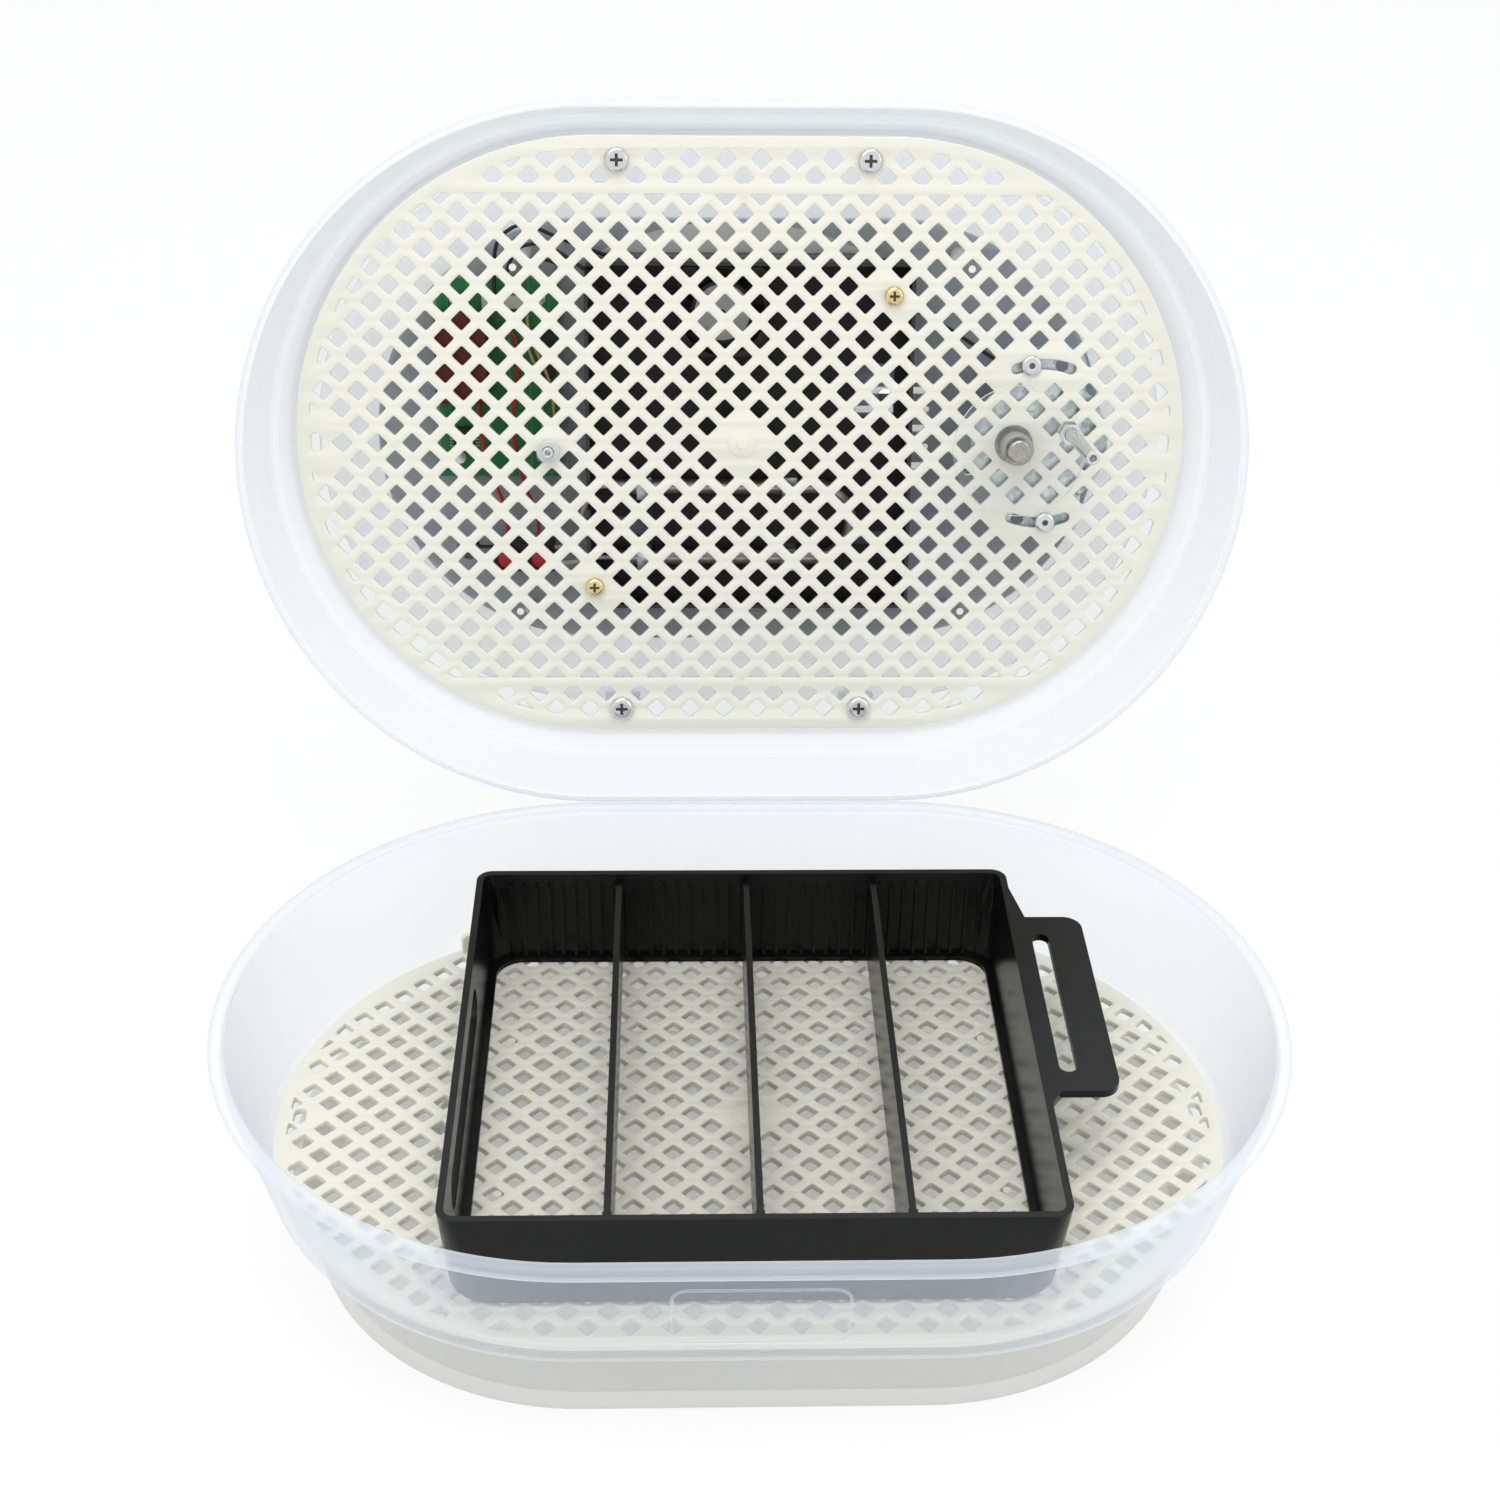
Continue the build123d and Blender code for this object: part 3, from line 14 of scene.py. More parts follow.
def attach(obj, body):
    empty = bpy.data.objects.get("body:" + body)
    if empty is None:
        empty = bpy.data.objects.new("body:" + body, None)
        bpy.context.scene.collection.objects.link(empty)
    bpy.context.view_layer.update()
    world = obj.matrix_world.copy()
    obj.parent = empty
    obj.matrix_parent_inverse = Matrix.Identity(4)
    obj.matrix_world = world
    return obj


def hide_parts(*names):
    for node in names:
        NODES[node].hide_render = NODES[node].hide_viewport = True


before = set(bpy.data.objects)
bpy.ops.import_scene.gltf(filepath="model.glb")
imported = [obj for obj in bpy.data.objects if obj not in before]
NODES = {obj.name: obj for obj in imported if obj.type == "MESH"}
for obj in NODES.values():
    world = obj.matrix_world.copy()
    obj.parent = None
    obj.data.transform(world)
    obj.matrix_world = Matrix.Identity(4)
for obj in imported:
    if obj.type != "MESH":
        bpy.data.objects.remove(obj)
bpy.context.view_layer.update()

# ------------------------------------------------------------------ frames and shared places
MM = Matrix.Scale(0.001, 4)
WORLD = MM

LID_LEAN = math.radians(14.24)
LID_RIM_R = 133.7  # through the middle of the lid's rim bead
HINGE_Z = 97.0
LID_UP = Vector((0, math.sin(LID_LEAN), math.cos(LID_LEAN)))
LID_OUT = Vector((0, -math.cos(LID_LEAN), math.sin(LID_LEAN)))
LID_ORIGIN = Vector((0, LID_RIM_R, HINGE_Z)) + LID_RIM_R * LID_UP
LID = MM @ Matrix.Translation(LID_ORIGIN) @ Matrix(
    ((1, 0, 0, 0), (0, LID_UP.y, LID_OUT.y, 0), (0, LID_UP.z, LID_OUT.z, 0), (0, 0, 0, 1))
)
TO_LID = LID.inverted()

HALF = 59.0  # half the straight run of every racetrack

# The tub's wall leans out from its shoulder to its rim bead.
SHOULDER_R, SHOULDER_Z = 117.5, 42
TUB_RIM_R, TUB_RIM_Z = 129.3, 92
TUB_WALL = 3
SLOPE = (TUB_RIM_R - SHOULDER_R) / (TUB_RIM_Z - SHOULDER_Z)

# Lower and upper face of each flat plate.
FLOOR_LOW, FLOOR_HIGH = 41.2, 44
GRID_LOW, GRID_HIGH = -50.1, -47.8
ROOF_LOW, ROOF_HIGH = -72.2, -70.6

# Places across the lid.
GRID_SCREWS = [(x, y) for x in (-49.8, 49.8) for y in (-112, 112)]
HOUSING_SCREWS = [(60.5, 59.7), (-60.5, -59.7)]
SHAFT = (111, 0)
PROBE_HOLE = (-78.6, -2.9)
FAN_AXIS = (-8, 52)


# ------------------------------------------------------------------ materials
EDGE_POWER = 3.0  # how late a milky skin turns dense towards its edges
MILK_SHADOW = 0.15  # share of a milky skin's opacity that is left when it casts a shadow
TRACK_LEAN = 0.25  # radians, the board's lean against its tracks' rows
ACRYLIC_IOR = 1.49


def new_material(name):
    """A node material with only its Principled shader and output."""
    m = bpy.data.materials.new(name)
    m.use_nodes = True
    nodes = m.node_tree.nodes
    return m, nodes, m.node_tree.links, nodes["Principled BSDF"]


def put(nodes, kind, **values):
    """A node with its properties or inputs set by name."""
    node = nodes.new(kind)
    for key, value in values.items():
        if hasattr(node, key):
            setattr(node, key, value)
        else:
            node.inputs[key.replace("_", " ")].default_value = value
    return node


def mottle(nodes, links, bsdf, colour, spread, scale, rough, rough_spread, bump, bump_scale):
    """Soft variation of colour, roughness and height, at real scales (scale per metre)."""
    place = put(nodes, "ShaderNodeTexCoord")
    cloud = put(nodes, "ShaderNodeTexNoise", Scale=scale, Detail=5.0, Roughness=0.55)
    links.new(place.outputs["Object"], cloud.inputs["Vector"])
    ramp = put(nodes, "ShaderNodeValToRGB")
    ramp.color_ramp.elements[0].position = 0.3
    ramp.color_ramp.elements[1].position = 0.7
    ramp.color_ramp.elements[0].color = (*[max(c * (1 - spread), 0) for c in colour], 1)
    ramp.color_ramp.elements[1].color = (*[min(c * (1 + spread), 1) for c in colour], 1)
    links.new(cloud.outputs["Fac"], ramp.inputs["Fac"])
    links.new(ramp.outputs["Color"], bsdf.inputs["Base Color"])
    gloss = put(nodes, "ShaderNodeMapRange")
    gloss.inputs["To Min"].default_value = rough - rough_spread
    gloss.inputs["To Max"].default_value = rough + rough_spread
    links.new(cloud.outputs["Fac"], gloss.inputs["Value"])
    links.new(gloss.outputs["Result"], bsdf.inputs["Roughness"])
    grain = put(nodes, "ShaderNodeTexNoise", Scale=bump_scale, Detail=3.0)
    links.new(place.outputs["Object"], grain.inputs["Vector"])
    relief = put(nodes, "ShaderNodeBump", Strength=bump, Distance=0.0002)
    links.new(grain.outputs["Fac"], relief.inputs["Height"])
    links.new(relief.outputs["Normal"], bsdf.inputs["Normal"])


def plastic(name, colour, rough=0.35, spread=0.03, bump=0.08, bump_scale=2500, shine=0.5, sss=0.0):
    """Opaque moulded plastic, rubber or sleeving; sss is the weight of the light scattered under its skin."""
    m, nodes, links, bsdf = new_material(name)
    mottle(nodes, links, bsdf, colour, spread, scale=22, rough=rough, rough_spread=0.04, bump=bump,
           bump_scale=bump_scale)
    bsdf.inputs["Specular IOR Level"].default_value = shine
    bsdf.inputs["Subsurface Weight"].default_value = sss
    bsdf.inputs["Subsurface Radius"].default_value = (0.004, 0.004, 0.003)
    bsdf.inputs["Subsurface Scale"].default_value = 1.0
    return m


def milky(name, face_on, edge_on, colour, rough=0.3):
    """Translucent moulded plastic: a thin skin on each side of the wall, denser where it is seen edge on.

    It scatters light rather than stopping it, so it casts only a faint shadow. face_on and edge_on are its opacities.
    """
    m, nodes, links, bsdf = new_material(name)
    mottle(nodes, links, bsdf, colour, spread=0.015, scale=9, rough=rough, rough_spread=0.04, bump=0.004,
           bump_scale=300)
    facing = put(nodes, "ShaderNodeLayerWeight", Blend=0.5)
    steep = put(nodes, "ShaderNodeMath", operation="POWER")
    steep.inputs[1].default_value = EDGE_POWER
    links.new(facing.outputs["Facing"], steep.inputs[0])
    cover = put(nodes, "ShaderNodeMapRange")
    cover.inputs["To Min"].default_value = face_on
    cover.inputs["To Max"].default_value = edge_on
    links.new(steep.outputs[0], cover.inputs["Value"])
    path = put(nodes, "ShaderNodeLightPath")
    passes = put(nodes, "ShaderNodeMapRange")
    passes.inputs["To Min"].default_value = 1.0
    passes.inputs["To Max"].default_value = MILK_SHADOW
    links.new(path.outputs["Is Shadow Ray"], passes.inputs["Value"])
    dense = put(nodes, "ShaderNodeMath", operation="MULTIPLY")
    links.new(cover.outputs["Result"], dense.inputs[0])
    links.new(passes.outputs["Result"], dense.inputs[1])
    links.new(dense.outputs[0], bsdf.inputs["Alpha"])
    return m


def metal(name, colour, rough=0.2, spread=0.04):
    """Bare metal with a fine, uneven finish."""
    m, nodes, links, bsdf = new_material(name)
    mottle(nodes, links, bsdf, colour, spread, scale=600, rough=rough, rough_spread=0.07, bump=0.05, bump_scale=4000)
    bsdf.inputs["Metallic"].default_value = 1.0
    return m


def galvanised(name):
    """Zinc-dipped sheet with its crystal spangle."""
    m, nodes, links, bsdf = new_material(name)
    place = put(nodes, "ShaderNodeTexCoord")
    spangle = put(nodes, "ShaderNodeTexVoronoi", Scale=420.0)
    links.new(place.outputs["Object"], spangle.inputs["Vector"])
    ramp = put(nodes, "ShaderNodeValToRGB")
    ramp.color_ramp.elements[0].color = (0.34, 0.40, 0.43, 1)
    ramp.color_ramp.elements[1].color = (0.62, 0.68, 0.70, 1)
    grey = put(nodes, "ShaderNodeSeparateColor")
    links.new(spangle.outputs["Color"], grey.inputs["Color"])
    links.new(grey.outputs["Red"], ramp.inputs["Fac"])
    links.new(ramp.outputs["Color"], bsdf.inputs["Base Color"])
    gloss = put(nodes, "ShaderNodeMapRange")
    gloss.inputs["To Min"].default_value = 0.28
    gloss.inputs["To Max"].default_value = 0.5
    links.new(grey.outputs["Green"], gloss.inputs["Value"])
    links.new(gloss.outputs["Result"], bsdf.inputs["Roughness"])
    relief = put(nodes, "ShaderNodeBump", Strength=0.1, Distance=0.0002)
    links.new(grey.outputs["Blue"], relief.inputs["Height"])
    links.new(relief.outputs["Normal"], bsdf.inputs["Normal"])
    bsdf.inputs["Metallic"].default_value = 0.9
    return m


def board_material(name):
    """Green solder mask over copper tracks."""
    m, nodes, links, bsdf = new_material(name)
    place = put(nodes, "ShaderNodeTexCoord")
    turn = put(nodes, "ShaderNodeMapping")
    turn.inputs["Rotation"].default_value = (TRACK_LEAN, 0, 0)
    links.new(place.outputs["Object"], turn.inputs["Vector"])
    tracks = put(nodes, "ShaderNodeTexBrick", Scale=170.0)
    tracks.inputs["Mortar Size"].default_value = 0.03
    tracks.inputs["Brick Width"].default_value = 1.4
    tracks.inputs["Row Height"].default_value = 0.33
    tracks.inputs["Color1"].default_value = (0.008, 0.20, 0.06, 1)
    tracks.inputs["Color2"].default_value = (0.012, 0.25, 0.08, 1)
    tracks.inputs["Mortar"].default_value = (0.06, 0.42, 0.17, 1)
    links.new(turn.outputs["Vector"], tracks.inputs["Vector"])
    links.new(tracks.outputs["Color"], bsdf.inputs["Base Color"])
    relief = put(nodes, "ShaderNodeBump", Strength=0.3, Distance=0.0002)
    links.new(tracks.outputs["Fac"], relief.inputs["Height"])
    links.new(relief.outputs["Normal"], bsdf.inputs["Normal"])
    bsdf.inputs["Roughness"].default_value = 0.3
    return m


def clear(name, tint, face_on, edge_on):
    """Clear moulded or cast plastic sheet, seen by its gloss and its bright edges."""
    m, nodes, links, bsdf = new_material(name)
    mottle(nodes, links, bsdf, tint, spread=0.01, scale=30, rough=0.03, rough_spread=0.02, bump=0.02, bump_scale=700)
    facing = put(nodes, "ShaderNodeLayerWeight", Blend=0.3)
    cover = put(nodes, "ShaderNodeMapRange")
    cover.inputs["To Min"].default_value = face_on
    cover.inputs["To Max"].default_value = edge_on
    links.new(facing.outputs["Facing"], cover.inputs["Value"])
    links.new(cover.outputs["Result"], bsdf.inputs["Alpha"])
    bsdf.inputs["IOR"].default_value = ACRYLIC_IOR
    return m


MILK = milky("milky_wall", face_on=0.12, edge_on=0.85, colour=(0.75, 0.81, 0.88))
MILK_RIM = milky("milky_rim", face_on=0.40, edge_on=0.97, colour=(0.80, 0.845, 0.91), rough=0.2)
# The foot's skin is denser for its thick double wall. Its darker warm grey is painted shade, with the cream of the
# lattice behind painted in.
MILK_FOOT_SHADE = milky("milky_foot_painted_shade", face_on=0.42, edge_on=0.8, colour=(0.71, 0.71, 0.67))
MILK_ROOF = milky("milky_roof", face_on=0.34, edge_on=0.9, colour=(0.72, 0.77, 0.85))
CREAM = plastic("cream_plastic", (0.80, 0.79, 0.69), rough=0.42, spread=0.01, bump=0.008, sss=0.2)
TRAY_BLACK = plastic(
    "tray_black", (0.006, 0.006, 0.0065), rough=0.24, spread=0.2, bump=0.05, bump_scale=1500, shine=0.2
)
BLACK = plastic("matt_black", (0.012, 0.012, 0.012), rough=0.45, spread=0.2, bump=0.15)
COVER = plastic("cover_grey", (0.26, 0.30, 0.36), rough=0.45, spread=0.02, bump=0.04, bump_scale=3500)
BUTTON = plastic("button_rubber", (0.70, 0.71, 0.72), rough=0.6)
CLEAR = clear("clear_acrylic", (0.75, 0.80, 0.78), face_on=0.06, edge_on=0.5)
CLEAR_EDGE = clear("clear_edge", (0.70, 0.76, 0.72), face_on=0.7, edge_on=0.95)
STEEL = metal("polished_steel", (0.66, 0.66, 0.67), rough=0.2)
NICKEL = metal("dull_nickel", (0.40, 0.38, 0.36), rough=0.25, spread=0.12)
RECESS = metal("recess_shade", (0.10, 0.09, 0.08), rough=0.4)
BRASS = metal("brass_plate", (0.72, 0.58, 0.30), rough=0.25, spread=0.12)
ZINC = galvanised("galvanised_sheet")
TUBE = metal("heater_sheath", (0.42, 0.41, 0.40), rough=0.4)
GREEN = board_material("board_green")
RELAY = plastic("relay_brown", (0.13, 0.018, 0.011), rough=0.4, bump=0.05, shine=0.25)
PALE = plastic("part_pale", (0.62, 0.60, 0.52), rough=0.4)
RED = plastic("red_sleeve", (0.62, 0.012, 0.008), rough=0.35, bump=0.1)
BLACK_WIRE = plastic("black_sleeve", (0.015, 0.015, 0.016), rough=0.4, bump=0.1)
WHITE_WIRE = plastic("white_sleeve", (0.72, 0.70, 0.66), rough=0.4)
YELLOW_WIRE = plastic("yellow_sleeve", (0.70, 0.45, 0.12), rough=0.4)
LABEL = plastic("pale_label", (0.60, 0.61, 0.60), rough=0.6)
SOLDER = metal("solder", (0.55, 0.55, 0.57), rough=0.35)
LCD = plastic("lcd_glass", (0.28, 0.33, 0.27), rough=0.2)
LCD_INK = plastic("lcd_ink", (0.02, 0.025, 0.02), rough=0.4)


# ------------------------------------------------------------------ shapes
def keep(obj, body, material, slot, *nodes):
    """Dress a piece, let it ride on its body and stand for its CAD nodes."""
    obj.data.materials.append(material)
    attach(obj, body)
    if nodes:
        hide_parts(*nodes)
    return obj


def shaded(name, bm, smooth):
    """An object from a finished bmesh, shaded smooth up to an angle in degrees."""
    mesh = bpy.data.meshes.new(name)
    bm.to_mesh(mesh)
    bm.free()
    for face in mesh.polygons:
        face.use_smooth = True
    mesh.set_sharp_from_angle(angle=math.radians(smooth))
    obj = bpy.data.objects.new(name, mesh)
    bpy.context.scene.collection.objects.link(obj)
    return obj


def from_bmesh(name, bm, matrix=WORLD, smooth=35):
    """An object from a bmesh drawn in one of the two millimetre frames."""
    bmesh.ops.transform(bm, matrix=matrix, verts=bm.verts)
    bmesh.ops.recalc_face_normals(bm, faces=bm.faces)
    return shaded(name, bm, smooth)


def bend(start, corner, end, steps):
    """Points of a corner rounded from start to end."""
    points = []
    for i in range(steps + 1):
        t = i / steps
        points.append((1 - t) ** 2 * start + 2 * t * (1 - t) * corner + t * t * end)
    return points


def rounded(points, radii, steps=6):
    """A polyline with its inner corners rounded, one radius per point."""
    out = [Vector(points[0])]
    for before, here, after, r in zip(points, points[1:], points[2:], radii[1:]):
        a, b, c = Vector(before), Vector(here), Vector(after)
        u, v = (a - b).normalized(), (c - b).normalized()
        angle = u.angle(v)
        if r <= 0 or angle > math.pi - 0.01:
            out.append(b)
            continue
        reach = min(r / math.tan(angle / 2), 0.49 * (a - b).length, 0.49 * (c - b).length)
        out += bend(b + u * reach, b, b + v * reach, steps)
    out.append(Vector(points[-1]))
    return out


def soft_loop(loop, radius, steps=4):
    """Closed outline with its corners rounded, all but the blunt ones."""
    loop = [p for i, p in enumerate(loop) if (p - loop[i - 1]).length > 0.02]
    out = []
    for i, b in enumerate(loop):
        u, v = loop[i - 1] - b, loop[(i + 1) % len(loop)] - b
        angle = u.angle(v)
        if angle > math.radians(160):
            out.append(b)
            continue
        reach = min(radius / math.tan(angle / 2), 0.45 * u.length, 0.45 * v.length)
        out += bend(b + u.normalized() * reach, b, b + v.normalized() * reach, steps)
    return out


def arc(centre, radius, start, end, steps):
    """Points of an arc in degrees."""
    return [
        Vector((centre[0] + radius * math.cos(math.radians(a)), centre[1] + radius * math.sin(math.radians(a))))
        for a in (start + (end - start) * i / steps for i in range(steps + 1))
    ]


def circle(x, y, radius, steps=20):
    return arc((x, y), radius, 0, 360 - 360 / steps, steps - 1)


def box_loop(x, y, width, height):
    return [Vector((x + i * width / 2, y + j * height / 2)) for i, j in ((-1, -1), (1, -1), (1, 1), (-1, 1))]


def rounded_rectangle(width, height, radius, steps=6):
    w, h = width / 2 - radius, height / 2 - radius
    loop = []
    for x, y, start in ((w, h, 0), (-w, h, 90), (-w, -h, 180), (w, -h, 270)):
        loop += arc((x, y), radius, start, start + 90, steps)
    return loop


def oval(x, y, length, width, steps=8):
    """Slot with round ends, long along y."""
    reach = (length - width) / 2
    return arc((x, y + reach), width / 2, 0, 180, steps) + arc((x, y - reach), width / 2, 180, 360, steps)


def racetrack(radius, steps=56):
    """Racetrack outline, anticlockwise from the front of the right end."""
    right = arc((HALF, 0), radius, -90, 90, steps)
    left = arc((-HALF, 0), radius, 90, 270, steps)
    top = [right[-1].lerp(left[0], i / 6) for i in range(1, 6)]
    low = [left[-1].lerp(right[0], i / 6) for i in range(1, 6)]
    return right + top + left + low


def join_rings(bm, low, high):
    """Four-sided faces between two closed rings of vertices."""
    for i in range(len(low)):
        j = (i + 1) % len(low)
        bm.faces.new((low[i], low[j], high[j], high[i]))


def ring_wall(bm, profile, sign=1):
    """Wall swept round the racetrack from a profile of (radius, height), as its rings of vertices."""
    rings = []
    for radius, height in profile:
        rings.append([bm.verts.new((p.x, p.y, sign * height)) for p in racetrack(radius)])
    for low, high in zip(rings, rings[1:]):
        join_rings(bm, low, high)
    return rings


def walled(name, profile, matrix, sign=1, ends=True):
    """A tub's mesh from its wall's profile; ends closes its first and last rings flat."""
    bm = bmesh.new()
    rings = ring_wall(bm, profile, sign)
    if ends:
        bm.faces.new(list(reversed(rings[0])))
        bm.faces.new(rings[-1])
    return from_bmesh(name, bm, matrix, smooth=45)


def lathe(bm, profile, centre=(0, 0), steps=32):
    """Round piece from a profile of (radius, z), about an axis along z; a last radius of 0 closes it."""
    rings = []
    for radius, z in profile:
        if radius < 1e-6:
            rings.append([bm.verts.new((centre[0], centre[1], z))])
        else:
            rings.append([bm.verts.new((p.x, p.y, z)) for p in circle(*centre, radius, steps)])
    for low, high in zip(rings, rings[1:]):
        if len(high) > 1:
            join_rings(bm, low, high)
            continue
        for i in range(steps):
            bm.faces.new((low[i], low[(i + 1) % steps], high[0]))


def pips(bm, places, radius, height):
    """Small round marks that the mould's pins leave."""
    for x, y, z in places:
        lathe(bm, [(radius, z), (radius * 0.96, z + height), (0, z + height)], (x, y), 18)


def outline_plate(name, outline, holes, low, high, bevel=0.3, matrix=WORLD):
    """Flat plate with holes and softened edges, from closed outlines of points."""
    curve = bpy.data.curves.new(name, "CURVE")
    curve.dimensions = "2D"
    curve.fill_mode = "BOTH"
    curve.extrude = (high - low) / 2 - bevel
    curve.bevel_depth = bevel
    curve.bevel_resolution = 1
    curve.offset = -bevel
    for loop in [outline] + holes:
        spline = curve.splines.new("POLY")
        spline.points.add(len(loop) - 1)
        for point, place in zip(spline.points, loop):
            point.co = (place[0], place[1], 0, 1)
        spline.use_cyclic_u = True
    holder = bpy.data.objects.new(name + "_outline", curve)
    bpy.context.scene.collection.objects.link(holder)
    bpy.context.view_layer.update()
    mesh = bpy.data.meshes.new_from_object(holder.evaluated_get(bpy.context.evaluated_depsgraph_get()))
    bpy.data.objects.remove(holder)
    bpy.data.curves.remove(curve)
    bm = bmesh.new()
    bm.from_mesh(mesh)
    bpy.data.meshes.remove(mesh)
    bmesh.ops.remove_doubles(bm, verts=bm.verts, dist=1e-4)
    bmesh.ops.translate(bm, vec=(0, 0, (low + high) / 2), verts=bm.verts)
    return from_bmesh(name, bm, matrix, smooth=50)


def soften(name, source, width):
    """A copy of a CAD node's mesh with its flat faces joined up and its edges rounded, width in millimetres."""
    bm = bmesh.new()
    bm.from_mesh(NODES[source].data)
    bmesh.ops.remove_doubles(bm, verts=bm.verts, dist=1e-6)
    bmesh.ops.dissolve_limit(bm, angle_limit=math.radians(0.6), verts=bm.verts, edges=bm.edges)
    obj = shaded(name, bm, smooth=28)
    mesh = obj.data
    bevel = obj.modifiers.new("edges", "BEVEL")
    bevel.harden_normals = True
    bevel.width = width * 0.001
    bevel.segments = 2
    bevel.limit_method = "ANGLE"
    bevel.angle_limit = math.radians(38)
    bevel.use_clamp_overlap = True
    bpy.context.view_layer.update()
    done = bpy.data.meshes.new_from_object(obj.evaluated_get(bpy.context.evaluated_depsgraph_get()))
    obj.modifiers.clear()
    obj.data = done
    bpy.data.meshes.remove(mesh)
    done.materials.clear()
    return obj


# ------------------------------------------------------------------ camera
# The photograph's camera, in degrees, metres and millimetres of film.
CAMERA_YAW, CAMERA_PITCH, CAMERA_ROLL = 2.04, 32.12, 0.97
CAMERA_PLACE = Vector((-0.0254, -0.6517, 0.6109))
CAMERA_LENS, CAMERA_SENSOR = 55.66, 36


def add_camera():
    yaw, pitch, roll = math.radians(CAMERA_YAW), math.radians(CAMERA_PITCH), math.radians(CAMERA_ROLL)
    forward = Vector((math.sin(yaw) * math.cos(pitch), math.cos(yaw) * math.cos(pitch), -math.sin(pitch)))
    right = Vector((math.cos(yaw), -math.sin(yaw), 0))
    up = right.cross(forward)
    r = math.cos(roll) * right + math.sin(roll) * up
    u = -math.sin(roll) * right + math.cos(roll) * up
    data = bpy.data.cameras.new("camera")
    data.lens = CAMERA_LENS
    data.sensor_width = CAMERA_SENSOR
    data.clip_end = 20
    camera = bpy.data.objects.new("camera", data)
    bpy.context.scene.collection.objects.link(camera)
    place = CAMERA_PLACE
    camera.matrix_world = Matrix(
        (
            (r.x, u.x, -forward.x, place.x),
            (r.y, u.y, -forward.y, place.y),
            (r.z, u.z, -forward.z, place.z),
            (0, 0, 0, 1),
        )
    )
    bpy.context.scene.camera = camera


add_camera()
bpy.context.scene.view_settings.view_transform = "Standard"


# ------------------------------------------------------------------ staging
ROOM_LIGHT, ROOM_TINT = 0.74, (0.96, 0.98, 1.0, 1)
FLOOR_REACH, FLOOR_DROP = 6, 0.0002  # metres
FLOOR_GLOW = 0.86  # share of plain white in what the camera sees of the floor; the rest shows the shadow


def camera_white(nodes, links, lit, white):
    """Show plain white to the camera, to gloss and through glass, and the lit shader to everything else."""
    path = put(nodes, "ShaderNodeLightPath")
    either = put(nodes, "ShaderNodeMath", operation="MAXIMUM")
    links.new(path.outputs["Is Camera Ray"], either.inputs[0])
    links.new(path.outputs["Is Glossy Ray"], either.inputs[1])
    seen = put(nodes, "ShaderNodeMath", operation="MAXIMUM")
    links.new(either.outputs[0], seen.inputs[0])
    links.new(path.outputs["Is Transmission Ray"], seen.inputs[1])
    mix = put(nodes, "ShaderNodeMixShader")
    links.new(lit, mix.inputs[1])
    links.new(white, mix.inputs[2])
    return seen, mix


world = bpy.data.worlds.new("studio")
bpy.context.scene.world = world
world.use_nodes = True
wn, wl = world.node_tree.nodes, world.node_tree.links
wn.clear()
soft = put(wn, "ShaderNodeBackground", Strength=ROOM_LIGHT)
soft.inputs["Color"].default_value = ROOM_TINT
white = put(wn, "ShaderNodeBackground", Strength=1.0)
white.inputs["Color"].default_value = (1, 1, 1, 1)
seen, mix = camera_white(wn, wl, soft.outputs[0], white.outputs[0])
wl.new(seen.outputs[0], mix.inputs[0])
out = put(wn, "ShaderNodeOutputWorld")
wl.new(mix.outputs[0], out.inputs["Surface"])

floor_mesh = bpy.data.meshes.new("floor")
floor_mesh.from_pydata([(*p, 0) for p in box_loop(0, 0, 2 * FLOOR_REACH, 2 * FLOOR_REACH)], [], [(0, 1, 2, 3)])
floor = bpy.data.objects.new("floor", floor_mesh)
floor.location.z = -FLOOR_DROP
bpy.context.scene.collection.objects.link(floor)
m, nodes, links, bsdf = new_material("floor_white")
mottle(nodes, links, bsdf, (0.93, 0.93, 0.93), spread=0.005, scale=3, rough=0.7, rough_spread=0.05, bump=0.02,
       bump_scale=200)
glow = put(nodes, "ShaderNodeEmission", Strength=1.0)
seen, mix = camera_white(nodes, links, bsdf.outputs[0], glow.outputs[0])
share = put(nodes, "ShaderNodeMath", operation="MULTIPLY")
share.inputs[1].default_value = FLOOR_GLOW
links.new(seen.outputs[0], share.inputs[0])
links.new(share.outputs[0], mix.inputs[0])
links.new(mix.outputs[0], nodes["Material Output"].inputs["Surface"])
floor_mesh.materials.append(m)


def softbox(name, place, target, size, power):
    """Rectangular lamp turned to its target, in metres and watts."""
    data = bpy.data.lights.new(name, "AREA")
    data.shape = "RECTANGLE"
    data.size, data.size_y = size
    data.energy = power
    lamp = bpy.data.objects.new(name, data)
    bpy.context.scene.collection.objects.link(lamp)
    lamp.location = place
    lamp.rotation_euler = (Vector(target) - Vector(place)).to_track_quat("-Z", "Y").to_euler()


softbox("key", place=(-0.9, -1.1, 1.9), target=(0, 0.1, 0.15), size=(1.2, 1.2), power=9)
softbox("fill", place=(1.3, -0.8, 1.2), target=(0, 0.1, 0.15), size=(1.0, 1.4), power=5)
softbox("rear", place=(0.2, 1.5, 1.6), target=(0, 0.1, 0.2), size=(1.6, 0.8), power=3)
softbox("top", place=(0.0, -0.3, 2.2), target=(0, -0.02, 0.05), size=(1.2, 0.8), power=14)


# ------------------------------------------------------------------ tub
TUB_BEAD_R = 3
RIM_LOOK_FROM, FOOT_SHADE_TO = 0.0895, 0.0345  # metres: heights where the tub's looks change; the foot's skin below the second holds painted shade
